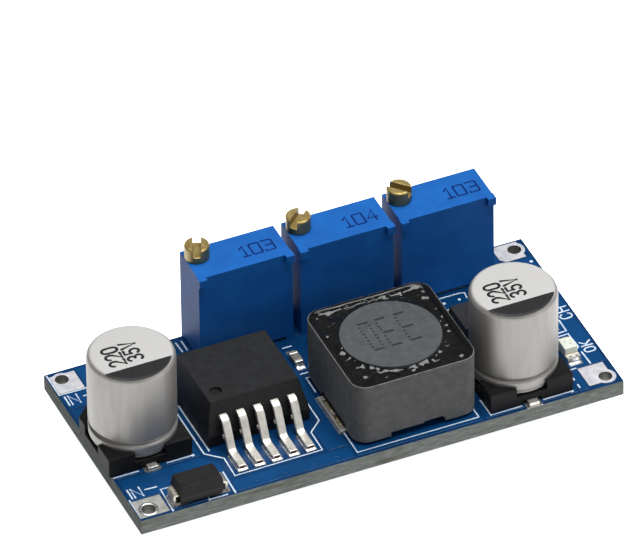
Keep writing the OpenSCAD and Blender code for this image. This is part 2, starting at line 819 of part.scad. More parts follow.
// Rubber rings that seal the screws under the housings' roofs
module trimmer_seal_rings() {
    color(resin_black)
        for (i = [0:2])
            at_trimmer(i)
                translate([screw_at[0], screw_at[1], ring_seat_z - ring_r])
                    rotate_extrude($fn = 48)
                        translate([shaft_r + run_gap + ring_r, 0]) circle(r = ring_r, $fn = 24);
}

// Cast resin that closes the housings around the pins
module trimmer_bottom_seals() {
    color(trimmer_blue)
        for (i = [0:2])
            at_trimmer(i)
                difference() {
                    translate([-cavity_l / 2, cavity_front, foot_h])
                        cube([cavity_l, cavity_back - cavity_front, seal_top - foot_h]);
                    for (k = [-1:1])
                        translate([k * pin_pitch, 0, 0]) cylinder(r = pin_r, h = trim_h, $fn = 32);
                }
}

// Solder around each pin: it fills the hole and rises in a cone under the board
module pin_solder_joints() {
    cone_h = 0.7;
    color(tin)
        at_pins()
            rotate_extrude($fn = 32)
                polygon([
                    [pin_r, board_t], [pin_hole_r, board_t], [pin_hole_r, 0], [0.85, 0], [0.85, -land_t],
                    [pin_r + 0.12, -cone_h], [pin_r, -cone_h]
                ]);
}

// ---------------------------------------------------------------- amplifier
amp_low = 0.12;
amp_h = 1.6;
amp_lead_z = 0.85;
amp_lead_t = 0.2;

module amplifier_body() {
    color(moulding_black)
        on_board(amp_at)
            difference() {
                drafted_body(amp_l, amp_w, amp_low, amp_lead_z, amp_h, 0.1, 0.12);
                translate([-amp_l / 2 + 0.6, -amp_w / 2 + 0.65, amp_h - 0.08]) cylinder(r = 0.25, h = 1, $fn = 24);
            }
}

module amplifier_leads() {
    color(tin)
        on_board(amp_at)
            for (i = [-1.5:1.5], turn = [-90, 90])
                translate([i * amp_pitch, 0, 0]) {
                    rotate(turn) translate([amp_w / 2 + 0.01, 0, 0])
                        gull_lead(amp_lead_z, 0.22, 0.5, amp_tip - amp_w / 2, amp_lead_t, 0.42, 0.14, 0);
                }
}

// ---------------------------------------------------------------- reference regulator
ref_l = 4.5;
ref_w = 2.5;
ref_h = 1.5;

module reference_regulator_body() {
    color(moulding_black)
        on_board(ref_at)
            difference() {
                drafted_body(ref_l, ref_w, land_t, 0.5, ref_h, 0, 0.15);
                // seat of the centre strip and its tab
                translate([-0.85, -ref_w / 2 + 0.5, 0]) cube([1.7, ref_w, land_t + 0.4]);
            }
}

module reference_regulator_leads() {
    lead_t = 0.4;
    color(tin)
        on_board(ref_at) {
            translate([-0.85, -ref_w / 2 + 0.5, land_t]) cube([1.7, ref_w - 0.5 + 0.65, lead_t]);
            for (i = [-1:1])
                translate([i * 1.5 - 0.22, -2.25, land_t]) cube([0.44, 2.25 - ref_w / 2, lead_t]);
        }
}

// ---------------------------------------------------------------- chips
// A chip part: a body between two end caps, along X
module chip_body(l, w, h, end_l) { centred_box(l - 2 * end_l, w, land_t, land_t + h); }
module chip_ends(l, w, h, end_l) {
    for (x = [-1, 1])
        translate([x * (l - end_l) / 2, 0, 0]) centred_box(end_l, w, land_t, land_t + h);
}

module shunt_resistor_body() { color(moulding_black) on_board(shunt_at) chip_body(shunt_l, shunt_w, 0.6, 0.7); }
module shunt_resistor_ends() { color(tin) on_board(shunt_at) chip_ends(shunt_l, shunt_w, 0.6, 0.7); }
module chip_capacitor_body() {
    color([0.45, 0.42, 0.40]) on_board(chip_cap_at) rotate(90) chip_body(chip_l, chip_w, 0.5, 0.35);
}
module chip_capacitor_ends() {
    color(tin) on_board(chip_cap_at) rotate(90) chip_ends(chip_l, chip_w, 0.5, 0.35);
}
module chip_resistor_bodies() {
    color(moulding_black)
        for (at = chip_resistors_at) on_board(at) rotate(90) chip_body(resistor_l, resistor_w, 0.45, 0.3);
}
module chip_resistor_ends() {
    color(tin)
        for (at = chip_resistors_at) on_board(at) rotate(90) chip_ends(resistor_l, resistor_w, 0.45, 0.3);
}

// ---------------------------------------------------------------- indicator lamps
lamp_base_h = 0.45;
lamp_lens_l = 1.75;
lamp_lens_h = 0.65;

module lamp_base(y) {
    color(lamp_cream)
        on_board([lamp_x, y]) rotate(90) centred_box(lamp_l, lamp_w, land_t, land_t + lamp_base_h);
}
module lamp_lens(y) {
    z = land_t + lamp_base_h;
    color(lamp_cream)
        on_board([lamp_x, y])
            rotate(90)
                hull() {
                    centred_box(lamp_lens_l, lamp_w, z, z + 0.1);
                    centred_box(lamp_lens_l - 0.2, lamp_w - 0.06, z + lamp_lens_h - 0.02, z + lamp_lens_h);
                }
}
module ready_lamp_base() { lamp_base(ready_lamp_y); }
module ready_lamp_lens() { lamp_lens(ready_lamp_y); }
module charge_lamp_base() { lamp_base(charge_lamp_y); }
module charge_lamp_lens() { lamp_lens(charge_lamp_y); }

board();
terminal_in_plus();
terminal_in_minus();
terminal_out_plus();
terminal_out_minus();
solder_lands();
input_capacitor_can();
input_capacitor_base();
input_capacitor_leads();
output_capacitor_can();
output_capacitor_base();
output_capacitor_leads();
regulator_body();
regulator_tab();
regulator_leads();
inductor_shield();
inductor_core();
inductor_winding();
inductor_resin();
inductor_base();
inductor_terminals();
diode_body();
diode_leads();
voltage_trimmer_housing();
voltage_trimmer_screw();
voltage_trimmer_rotor();
voltage_trimmer_wiper();
voltage_trimmer_element();
voltage_trimmer_pins();
lamp_trimmer_housing();
lamp_trimmer_screw();
lamp_trimmer_rotor();
lamp_trimmer_wiper();
lamp_trimmer_element();
lamp_trimmer_pins();
current_trimmer_housing();
current_trimmer_screw();
current_trimmer_rotor();
current_trimmer_wiper();
current_trimmer_element();
current_trimmer_pins();
trimmer_seal_rings();
trimmer_bottom_seals();
pin_solder_joints();
amplifier_body();
amplifier_leads();
reference_regulator_body();
reference_regulator_leads();
shunt_resistor_body();
shunt_resistor_ends();
chip_capacitor_body();
chip_capacitor_ends();
chip_resistor_bodies();
chip_resistor_ends();
ready_lamp_base();
ready_lamp_lens();
charge_lamp_base();
charge_lamp_lens();
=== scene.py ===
# A step-down converter module on a blue circuit board: board, wire holes, lettering, capacitors,
# regulator, inductor, diode, trimmers and the small parts between them, in that order.
import math

import bpy
import bmesh
from mathutils import Matrix, Vector, noise


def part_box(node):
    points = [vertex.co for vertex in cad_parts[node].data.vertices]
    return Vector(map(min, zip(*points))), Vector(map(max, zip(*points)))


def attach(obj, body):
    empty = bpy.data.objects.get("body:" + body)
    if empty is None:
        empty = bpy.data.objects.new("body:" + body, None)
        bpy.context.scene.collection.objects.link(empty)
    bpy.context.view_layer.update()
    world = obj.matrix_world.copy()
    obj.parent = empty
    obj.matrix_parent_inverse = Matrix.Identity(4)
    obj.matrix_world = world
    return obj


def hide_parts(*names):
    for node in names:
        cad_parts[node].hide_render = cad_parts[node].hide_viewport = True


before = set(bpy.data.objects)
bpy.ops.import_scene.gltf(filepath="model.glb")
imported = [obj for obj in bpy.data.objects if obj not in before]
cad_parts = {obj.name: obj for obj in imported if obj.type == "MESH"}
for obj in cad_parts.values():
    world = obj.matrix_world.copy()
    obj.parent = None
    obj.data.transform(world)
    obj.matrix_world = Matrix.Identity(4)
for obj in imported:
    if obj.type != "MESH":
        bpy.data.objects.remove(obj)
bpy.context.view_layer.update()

MM = 0.001

# ------------------------------------------------------------------------------------ board
# The board is woven glass laminate, milled to a rectangle and coated on both faces with blue
# solder mask. Copper fields under the mask stand a little proud and look lighter. The milled
# edges are left bare and show the glass layers.


def paint(r, g, b):
    """The linear colour of an 8-bit one."""
    shares = [c / 255 for c in (r, g, b)]
    return tuple(c / 12.92 if c < 11 / 255 else ((c + 0.055) / 1.055) ** 2.4 for c in shares) + (1.0,)


def add(tree, kind, inputs=None, **settings):
    """A node of that kind, with its settings made and its inputs set or linked."""
    made = tree.nodes.new(kind)
    for key, value in settings.items():
        setattr(made, key, value)
    for key, value in (inputs or {}).items():
        if isinstance(value, bpy.types.NodeSocket):
            tree.links.new(value, made.inputs[key])
        else:
            made.inputs[key].default_value = value
    return made


def blank_finish(name):
    """An empty material: its node tree, its surface shader and its coordinates in millimetres."""
    material = bpy.data.materials.new(name)
    material.use_nodes = True
    tree = material.node_tree
    place = add(tree, "ShaderNodeTexCoord").outputs["Object"]
    in_mm = add(tree, "ShaderNodeVectorMath", {0: place, "Scale": 1 / MM}, operation="SCALE").outputs[0]
    return material, tree, tree.nodes["Principled BSDF"], in_mm


def speckle(tree, place, size, detail=3.0, roughness=0.55, stretch=(1, 1, 1)):
    """Noise with patches of about that size in millimetres, from 0 to 1."""
    scaled = add(tree, "ShaderNodeVectorMath", {0: place, 1: stretch}, operation="MULTIPLY").outputs[0]
    return add(tree, "ShaderNodeTexNoise", {
        "Vector": scaled, "Scale": 1 / size, "Detail": detail, "Roughness": roughness}).outputs[0]


def spread(tree, value, low, high, to_low=0.0, to_high=1.0):
    """The value, stretched so that low to high becomes to_low to to_high."""
    return add(tree, "ShaderNodeMapRange", {
        "Value": value, "From Min": low, "From Max": high, "To Min": to_low, "To Max": to_high}).outputs[0]


def blend_colours(tree, share, first, second):
    """The first colour where share is 0 and the second where it is 1."""
    return add(tree, "ShaderNodeMix", {0: share, 6: first, 7: second}, data_type="RGBA").outputs[2]


def relief(tree, shader, height, depth):
    """Bumps of that depth in millimetres on the shader's surface."""
    shader.inputs["Normal"].default_value = (0, 0, 0)
    made = add(tree, "ShaderNodeBump", {"Height": height, "Strength": 1.0, "Distance": depth * MM})
    tree.links.new(made.outputs[0], shader.inputs["Normal"])


def facing_up(tree):
    """How far a face looks up, from -1 to 1."""
    normal = add(tree, "ShaderNodeNewGeometry").outputs["Normal"]
    return add(tree, "ShaderNodeSeparateXYZ", {0: normal}).outputs["Z"]


def finish(name, light, dark, patch, rough, grain, depth, metallic=0.0, **sockets):
    """A finish that wanders between two colours and two roughnesses, with a fine grain."""
    material, tree, shader, place = blank_finish(name)
    wander = spread(tree, speckle(tree, place, patch), 0.35, 0.65)
    tree.links.new(blend_colours(tree, wander, paint(*light), paint(*dark)), shader.inputs["Base Color"])
    fine = speckle(tree, place, grain, detail=2.0)
    tree.links.new(spread(tree, fine, 0.3, 0.7, *rough), shader.inputs["Roughness"])
    relief(tree, shader, fine, depth)
    shader.inputs["Metallic"].default_value = metallic
    for key, value in sockets.items():
        shader.inputs[key.replace("_", " ")].default_value = value
    return material


def dress(node, material):
    """Gives a node of the frame its finish."""
    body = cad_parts[node]
    if not body.material_slots:
        body.data.materials.append(material)
    for place in body.material_slots:
        place.material = material
    return body


def ease_edges(body, width, segments=2):
    """Breaks a node's sharp edges by that width in millimetres, as moulding and stamping do."""
    weld = body.modifiers.new("weld", "WELD")
    weld.merge_threshold = 1e-6
    flat = body.modifiers.new("flat_faces", "DECIMATE")
    flat.decimate_type = "DISSOLVE"
    flat.angle_limit = math.radians(0.5)
    bevel = body.modifiers.new("eased_edges", "BEVEL")
    bevel.limit_method = "ANGLE"
    bevel.angle_limit = math.radians(30)
    bevel.width = width * MM
    bevel.segments = segments
    body.data.shade_flat()


def piece(name, mesh, material, body):
    """A finished piece: its mesh with a finish, on a body of the frame."""
    made = bpy.data.objects.new(name, mesh)
    bpy.context.scene.collection.objects.link(made)
    mesh.materials.clear()
    mesh.materials.append(material)
    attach(made, body)
    return made


def from_bmesh(name, shape, smooth_below=0):
    """A mesh from a bmesh in millimetres; edges flatter than that angle are shaded smooth."""
    bmesh.ops.scale(shape, vec=(MM, MM, MM), verts=shape.verts)
    bmesh.ops.recalc_face_normals(shape, faces=shape.faces)
    mesh = bpy.data.meshes.new(name)
    shape.to_mesh(mesh)
    shape.free()
    if smooth_below:
        mesh.shade_smooth()
        mesh.set_sharp_from_angle(angle=math.radians(smooth_below))
    return mesh


def add_plate(shape, outline, low, high):
    """A flat plate with that outline, between two heights, in a bmesh."""
    face = shape.faces.new([shape.verts.new((x, y, low)) for x, y in outline])
    lifted = bmesh.ops.extrude_face_region(shape, geom=[face])["geom"]
    tops = [v for v in lifted if isinstance(v, bmesh.types.BMVert)]
    bmesh.ops.translate(shape, vec=(0, 0, high - low), verts=tops)


board_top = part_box("board")[1].z / MM


def mask_on(name, light, dark):
    """Solder mask, on faces that look up or down, and bare laminate on upright faces."""
    material, tree, shader, place = blank_finish(name)
    wander = spread(tree, speckle(tree, place, 3.0), 0.3, 0.7)
    mask = blend_colours(tree, wander, paint(*light), paint(*dark))
    layers = speckle(tree, place, 0.5, detail=5.0, stretch=(0.35, 0.35, 2.2))
    glass = blend_colours(tree, spread(tree, layers, 0.38, 0.62), paint(194, 201, 197), paint(158, 166, 160))
    stains = spread(tree, speckle(tree, place, 1.4, detail=4.0, stretch=(0.4, 0.4, 1.8)), 0.54, 0.75)
    glass = blend_colours(tree, stains, glass, paint(136, 132, 112))
    normal = add(tree, "ShaderNodeNewGeometry").outputs["Normal"]
    up = add(tree, "ShaderNodeSeparateXYZ", {0: normal}).outputs["Z"]
    size = add(tree, "ShaderNodeMath", {0: up}, operation="ABSOLUTE").outputs[0]
    level = spread(tree, size, 0.55, 0.7)
    tree.links.new(blend_colours(tree, level, glass, mask), shader.inputs["Base Color"])
    tree.links.new(spread(tree, level, 0, 1, 0.8, 0.3), shader.inputs["Roughness"])
    fine = speckle(tree, place, 0.35, detail=2.0)
    soft = spread(tree, level, 0, 1, 1.0, 0.12)
    height = add(tree, "ShaderNodeMath", {0: fine, 1: soft}, operation="MULTIPLY").outputs[0]
    relief(tree, shader, height, 0.06)
    shader.inputs["Specular IOR Level"].default_value = 0.22
    return material


dress("board", mask_on("mask_on_laminate", (6, 58, 104), (4, 46, 88)))

# Copper fields under the mask, as outlines in millimetres on the board's face
copper_fields = [
    [(-20.9, -11.1), (-15.2, -11.1), (-14.4, -9.5), (-14.4, -6.8), (-15.8, -5.4), (-23.8, -5.4),
     (-23.8, -8.5), (-20.9, -8.5)],
    [(-23.8, -5.1), (-15.6, -5.1), (-15.6, 5.6), (-23.8, 5.6)],
    [(-23.8, 5.9), (-15.3, 5.9), (-15.3, 2.6), (-3.6, 2.6), (-3.6, 11.1), (-21.1, 11.1), (-21.1, 8.1),
     (-23.8, 8.1)],
    [(-14.9, -11.1), (-2.7, -11.1), (-2.7, -9.6), (-14.2, -9.6)],
    [(-4.6, -9.3), (-2.7, -9.3), (-2.7, 2.3), (-3.4, 2.3), (-3.4, -5.0), (-4.7, -6.2)],
    [(-2.4, -11.1), (10.1, -11.1), (10.1, -1.2), (-1.6, -1.2), (-1.6, -8.4), (-2.4, -8.4)],
    [(10.4, -11.1), (19.6, -11.1), (19.6, -2.2), (10.4, -2.2)],
    [(19.9, -11.1), (20.8, -11.1), (20.8, -8.0), (23.8, -8.0), (23.8, 8.6), (20.8, 8.6), (20.8, 11.1),
     (20.4, 11.1), (20.4, -8.2), (19.9, -8.2)],
    [(10.4, 7.2), (20.1, 7.2), (20.1, 11.1), (-3.3, 11.1), (-3.3, 7.2)],
]
shape = bmesh.new()
for outline in copper_fields:
    add_plate(shape, outline, board_top - 0.01, board_top + 0.025)
    add_plate(shape, [(x * 0.995, y * 0.99) for x, y in outline], -0.02, 0.01)
masked = mask_on("mask_on_copper", (8, 68, 120), (6, 58, 104))
piece("masked_copper", from_bmesh("masked_copper", shape), masked, "module")

# ------------------------------------------------------------------------------- wire holes
# The four wire holes and all solder lands are copper with a thin coat of tin from hot-air
# levelling, so they are bright but not quite flat. The holes are plated through.


def tinned(name, light, dark, rough, patch=0.9, grain=0.25, depth=0.02):
    return finish(name, light, dark, patch, rough, grain, depth, metallic=0.85)


def plated(name, light, dark):
    """Levelled tin on faces that look up or down, and on a hole's wall dull plating in a darker grey, which
    also paints the shade inside the hole.
    """
    material, tree, shader, place = blank_finish(name)
    wander = spread(tree, speckle(tree, place, 0.9), 0.35, 0.65)
    tin = blend_colours(tree, wander, paint(*light), paint(*dark))
    up_or_down = add(tree, "ShaderNodeMath", {0: facing_up(tree)}, operation="ABSOLUTE").outputs[0]
    level = spread(tree, up_or_down, 0.4, 0.6)
    # The wall's darker grey is dull plating and painted shade inside the hole
    wall = blend_colours(tree, speckle(tree, place, 0.3), paint(128, 126, 121), paint(158, 156, 152))
    tree.links.new(blend_colours(tree, level, wall, tin), shader.inputs["Base Color"])
    fine = speckle(tree, place, 0.25, detail=2.0)
    tree.links.new(spread(tree, fine, 0.3, 0.7, 0.42, 0.6), shader.inputs["Roughness"])
    relief(tree, shader, fine, 0.012)
    shader.inputs["Metallic"].default_value = 0.75
    return material


hole_tin = plated("levelled_tin", (226, 226, 230), (206, 207, 213))
for hole in ("terminal_in_plus", "terminal_out_plus", "terminal_out_minus"):
    dress(hole, hole_tin)
dress("terminal_in_minus", plated("worn_tin", (182, 182, 178), (160, 160, 155)))
dress("solder_lands", tinned("land_tin", (205, 205, 205), (150, 150, 146), (0.22, 0.45), patch=0.5))


def grown(name, mesh, tree, values):
    """The plain mesh that a tree of Geometry Nodes makes from a mesh."""
    seed = bpy.data.objects.new(name + "_seed", mesh)
    bpy.context.scene.collection.objects.link(seed)
    grow = seed.modifiers.new("grow", "NODES")
    grow.node_group = tree
    for entry in tree.interface.items_tree:
        if entry.in_out == "INPUT" and entry.name in values:
            grow[entry.identifier] = values[entry.name]
    graph = bpy.context.evaluated_depsgraph_get()
    made = bpy.data.meshes.new_from_object(seed.evaluated_get(graph), depsgraph=graph)
    bpy.data.objects.remove(seed)
    made.name = name
    return made


def new_tree(name, **inputs):
    """An empty tree of Geometry Nodes with these named inputs, and its input and output nodes."""
    tree = bpy.data.node_groups.new(name, "GeometryNodeTree")
    tree.interface.new_socket("Geometry", in_out="INPUT", socket_type="NodeSocketGeometry")
    for key, kind in inputs.items():
        tree.interface.new_socket(key, in_out="INPUT", socket_type="NodeSocket" + kind)
    tree.interface.new_socket("Geometry", in_out="OUTPUT", socket_type="NodeSocketGeometry")
    return tree, tree.nodes.new("NodeGroupInput"), tree.nodes.new("NodeGroupOutput")


def point_mesh(name, points, edges=()):
    mesh = bpy.data.meshes.new(name)
    mesh.from_pydata([tuple(c * MM for c in p) for p in points], edges, [])
    return mesh


# Small holes that join the two faces' copper: a tinned ring at each point, on both faces
via_tree, given, result = new_tree("via_rings", Radius="Float", Height="Float", Material="Material")
ring = add(via_tree, "GeometryNodeMeshCylinder", {
    "Vertices": 20, "Radius": given.outputs["Radius"], "Depth": given.outputs["Height"]})
spots = add(via_tree, "GeometryNodeInstanceOnPoints", {
    "Points": given.outputs["Geometry"], "Instance": ring.outputs["Mesh"]})
solid = add(via_tree, "GeometryNodeRealizeInstances", {"Geometry": spots.outputs[0]})
coated = add(via_tree, "GeometryNodeSetMaterial", {
    "Geometry": solid.outputs[0], "Material": given.outputs["Material"]})
via_tree.links.new(coated.outputs[0], result.inputs[0])

via_places = [
    (-4.2, -10.3), (-6.5, -10.4), (-9.4, -10.4), (-12.2, -10.3), (11.6, -5.4), (10.9, 3.6), (10.9, 4.9),
    (22.9, 3.4), (22.9, 5.2), (21.6, 4.3), (-22.9, 4.2), (-22.9, -3.4), (-16.2, -8.1), (-3.2, -9.0),
    (13.2, -1.0), (17.9, -1.2), (-16.3, 4.6), (19.6, 6.6),
]
via_points = [(x, y, z) for x, y in via_places for z in (0.0, board_top)]
via_mesh = grown("via_rings", point_mesh("via_points", via_points), via_tree, {
    "Radius": 0.24 * MM, "Height": 0.09 * MM, "Material": masked})
piece("via_rings", via_mesh, masked, "module")

# -------------------------------------------------------------------------------- lettering
# The outlines and letters are white ink, screen printed on the mask in lines of one width with
# round ends. Every printed or marked figure on the parts is drawn with the same pen strokes.

line_tree, given, result = new_tree("pen_lines", Width="Float", Flatness="Float", Material="Material")
half = add(line_tree, "ShaderNodeMath", {0: given.outputs["Width"], 1: 0.5}, operation="MULTIPLY").outputs[0]
paths = add(line_tree, "GeometryNodeMeshToCurve", {"Mesh": given.outputs["Geometry"]})
nib = add(line_tree, "GeometryNodeCurvePrimitiveCircle", {"Resolution": 10, "Radius": half})
strokes = add(line_tree, "GeometryNodeCurveToMesh", {
    "Curve": paths.outputs[0], "Profile Curve": nib.outputs[0], "Fill Caps": True})
corners = add(line_tree, "GeometryNodeMeshToPoints", {"Mesh": given.outputs["Geometry"]})
dot = add(line_tree, "GeometryNodeMeshUVSphere", {"Segments": 10, "Rings": 6, "Radius": half})
dots = add(line_tree, "GeometryNodeInstanceOnPoints", {
    "Points": corners.outputs[0], "Instance": dot.outputs["Mesh"]})
solid = add(line_tree, "GeometryNodeRealizeInstances", {"Geometry": dots.outputs[0]})
both = add(line_tree, "GeometryNodeJoinGeometry")
line_tree.links.new(strokes.outputs[0], both.inputs[0])
line_tree.links.new(solid.outputs[0], both.inputs[0])
squeeze = add(line_tree, "ShaderNodeCombineXYZ", {"X": 1.0, "Y": 1.0, "Z": given.outputs["Flatness"]})
flat = add(line_tree, "GeometryNodeTransform", {
    "Geometry": both.outputs[0], "Scale": squeeze.outputs[0]})
inked = add(line_tree, "GeometryNodeSetMaterial", {
    "Geometry": flat.outputs[0], "Material": given.outputs["Material"]})
line_tree.links.new(inked.outputs[0], result.inputs[0])


def pen_lines(name, strokes, width, level, thickness, material, body):
    """Lines of ink along strokes, lists of places in millimetres, on a face at that height."""
    points, edges = [], []
    for stroke in strokes:
        closed = len(stroke) > 2 and stroke[0] == stroke[-1]
        run = stroke[:-1] if closed else stroke
        first = len(points)
        points += [(x, y, 0) for x, y in run]
        edges += [(first + i, first + i + 1) for i in range(len(run) - 1)]
        if closed:
            edges.append((first + len(run) - 1, first))
    mesh = grown(name, point_mesh(name, points, edges), line_tree, {
        "Width": width * MM, "Flatness": 2 * thickness / width, "Material": material})
    mesh.transform(Matrix.Translation((0, 0, level * MM)))
    return piece(name, mesh, material, body)


def arc(cx, cy, rx, ry, start, end, steps=8):
    turn = [math.radians(start + (end - start) * i / steps) for i in range(steps + 1)]
    return [(cx + rx * math.cos(a), cy + ry * math.sin(a)) for a in turn]


# Figures and letters as strokes in a box one unit high
GLYPHS = {
    "0": (0.6, [arc(0.3, 0.7, 0.3, 0.3, 0, 180) + arc(0.3, 0.3, 0.3, 0.3, 180, 360) + [(0.6, 0.7)]]),
    "1": (0.5, [[(0.05, 0.78), (0.28, 1), (0.28, 0)], [(0.05, 0), (0.5, 0)]]),
    "2": (0.6, [arc(0.3, 0.7, 0.29, 0.3, 165, -35) + [(0.02, 0), (0.6, 0)]]),
    "3": (0.6, [arc(0.28, 0.75, 0.27, 0.25, 150, -90) + arc(0.28, 0.26, 0.31, 0.26, 88, -152)]),
    "4": (0.6, [[(0.46, 0), (0.46, 1), (0, 0.3), (0.62, 0.3)]]),
    "5": (0.6, [[(0.55, 1), (0.1, 1), (0.06, 0.55)] + arc(0.28, 0.31, 0.3, 0.31, 130, -148)]),
    "I": (0.0, [[(0, 0), (0, 1)]]),
    "N": (0.62, [[(0, 0), (0, 1), (0.62, 0), (0.62, 1)]]),
    "O": (0.6, [arc(0.3, 0.68, 0.3, 0.32, 0, 180) + arc(0.3, 0.32, 0.3, 0.32, 180, 360) + [(0.6, 0.68)]]),
    "K": (0.6, [[(0, 0), (0, 1)], [(0.6, 1), (0, 0.38)], [(0.2, 0.55), (0.6, 0)]]),
    "C": (0.6, [arc(0.32, 0.66, 0.3, 0.34, 20, 180) + arc(0.32, 0.34, 0.3, 0.34, 180, 340)]),
    "H": (0.6, [[(0, 0), (0, 1)], [(0.6, 0), (0.6, 1)], [(0, 0.5), (0.6, 0.5)]]),
    "V": (0.66, [[(0, 1), (0.33, 0), (0.66, 1)]]),
    "U": (0.6, [[(0, 1), (0, 0.3)] + arc(0.3, 0.3, 0.3, 0.3, 180, 360) + [(0.6, 1)]]),
    "T": (0.6, [[(0, 1), (0.6, 1)], [(0.3, 1), (0.3, 0)]]),
    "square 0": (0.62, [[(0.06, 0), (0, 0.06), (0, 0.94), (0.06, 1), (0.56, 1), (0.62, 0.94), (0.62, 0.06),
                         (0.56, 0), (0.06, 0)]]),
    "square 3": (0.62, [[(0, 1), (0.54, 1), (0.62, 0.92), (0.62, 0.6), (0.52, 0.52), (0.16, 0.52)],
                        [(0.52, 0.52), (0.62, 0.44), (0.62, 0.08), (0.54, 0), (0, 0), (0, 0.1)]]),
}


def letters(text, height, at, turn=0, gap=0.3, width=1.0):
    """The strokes of some glyphs that start at a place and read in the direction of turn."""
    cos, sin = round(math.cos(math.radians(turn))), round(math.sin(math.radians(turn)))
    strokes, along = [], 0.0
    for glyph in text:
        wide, parts = GLYPHS[glyph]
        for part in parts:
            run = [((along + x * width) * height, y * height) for x, y in part]
            strokes.append([(at[0] + x * cos - y * sin, at[1] + x * sin + y * cos) for x, y in run])
        along += wide * width + gap
    return strokes


white_ink = finish("white_ink", (218, 230, 242), (186, 205, 226), 0.8, (0.5, 0.7), 0.15, 0.008)
outlines = [
    # beside the input holes
    [(-23.98, -8.35), (-23.98, -11.05), (-21.7, -11.05)],
    [(-23.95, 11.2), (-23.95, 8.15), (-21.2, 8.15)],
    # round the diode
    [(-19.81, -8.07), (-20.78, -8.06), (-20.91, -11.28)], [(-14.62, -8.14), (-14.72, -11.27)],
    [(-17.22, -10.78), (-17.3, -11.29)], [(-17.16, -11.22), (-15.5, -11.22)],
    # round the input and the output capacitor
    [(-24.06, -4.82), (-21.6, -4.81)], [(-18.7, -4.8), (-16.17, -4.8)],
    [(10.95, -8.52), (10.98, -10.89), (14.1, -10.87)], [(16.3, -10.85), (19.17, -10.82)],
    [(20.02, -9.0), (20.02, -9.45)], [(20.04, -10.2), (20.04, -10.65)],
    # round the regulator
    [(-15.13, 3.0), (-15.16, -5.07), (-13.74, -6.4), (-13.82, -9.07), (-5.08, -8.99),
     (-5.03, -6.29), (-3.67, -5.03), (-3.66, -2.3)],
    [(-14.57, -4.83), (-14.58, 2.17)],
    # round the inductor
    [(-1.93, 1.03), (-2.31, 1.03), (-2.31, -1.15)], [(-2.31, -7.05), (-2.31, -10.67), (9.86, -10.67)],
    [(9.86, -10.67), (9.86, -7.2)], [(9.9, -0.9), (9.9, 0.97), (8.9, 0.97)],
    # by the first trimmer's foot
    [(-11.22, 10.69), (-11.16, 9.29)], [(-10.64, 10.74), (-10.64, 9.34)],
    # round the small parts
    [(-2.53, 5.87), (-1.72, 5.87)], [(-2.54, 1.75), (-1.61, 1.75)],
    [(13.56, 6.47), (15.63, 6.47), (16.03, 6.32), (15.97, 5.61)],
    [(21.31, -3.15), (22.29, -3.13), (22.37, -5.21), (22.02, -5.56)],
    [(22.34, -6.06), (22.39, -7.86)], [(20.33, -7.99), (20.85, -7.97)],
    [(22.35, -1.02), (22.32, -2.64), (21.52, -2.68)], [(22.35, 1.5), (22.35, 1.9), (20.0, 1.9), (20.0, 1.2)],
    # minus and plus signs of the input
    [(-22.06, -7.48), (-20.97, -7.54)], [(-21.9, 7.2), (-20.8, 7.2)], [(-21.35, 7.75), (-21.35, 6.65)],
]
silk = outlines + (
    letters("IN", 1.3, (-23.62, -8.2), gap=0.24) + letters("IN", 1.3, (-23.62, 6.45), gap=0.24)
    + letters("OK", 1.05, (23.72, -6.3), turn=90, gap=0.3)
    + letters("CH", 1.15, (23.78, -1.05), turn=90, gap=0.32))
silk_thickness = 0.025
pen_lines("board_lettering", silk, 0.17, board_top + silk_thickness, silk_thickness, white_ink,
          "module")
ink_dots = [[(-16.17, -4.8)] * 1, [(19.17, -10.82)], [(23.59, 7.97)], [(13.69, 5.67)], [(15.21, 5.63)]]
pen_lines("board_ink_dots", ink_dots, 0.34, board_top + silk_thickness, silk_thickness, white_ink,
          "module")

# ------------------------------------------------------------------------------- capacitors
# Two can capacitors, drawn from aluminium and lacquered, with a rolled groove near the foot.
# The top carries a black mark on the side of the minus lead and the values in black ink.


def turned(name, profile, at, segments=128, smooth_below=40):
    """A mesh turned from a profile of radius and height about an upright axis."""
    shape = bmesh.new()
    rings = []
    for radius, height in profile:
        if radius == 0:
            rings.append([shape.verts.new((at[0], at[1], height))] * segments)
            continue
        rings.append([shape.verts.new((
            at[0] + radius * math.cos(2 * math.pi * i / segments),
            at[1] + radius * math.sin(2 * math.pi * i / segments), height)) for i in range(segments)])
    for lower, upper in zip(rings, rings[1:]):
        for i in range(segments):
            k = (i + 1) % segments
            corners = list(dict.fromkeys([lower[i], lower[k], upper[k], upper[i]]))
            shape.faces.new(corners)
    return from_bmesh(name, shape, smooth_below)


def can_finish():
    material, tree, shader, place = blank_finish("lacquered_aluminium")
    drawn = speckle(tree, place, 0.6, detail=4.0, stretch=(1.0, 1.0, 0.12))
    tone = blend_colours(tree, spread(tree, drawn, 0.3, 0.7), paint(165, 163, 160), paint(158, 155, 151))
    # Faces that look up, the lid, are painted lighter than the side as painted light from above, and are
    # given less metal
    lid_painted_lighter = spread(tree, facing_up(tree), 0.75, 0.97)
    tone = blend_colours(tree, lid_painted_lighter, tone, paint(192, 191, 189))
    tree.links.new(tone, shader.inputs["Base Color"])
    tree.links.new(spread(tree, drawn, 0.3, 0.7, 0.45, 0.52), shader.inputs["Roughness"])
    tree.links.new(spread(tree, lid_painted_lighter, 0, 1, 0.55, 0.1), shader.inputs["Metallic"])
    relief(tree, shader, speckle(tree, place, 0.12, detail=2.0), 0.002)
    shader.inputs["Coat Weight"].default_value = 0.1
    shader.inputs["Coat Roughness"].default_value = 0.2
    return material


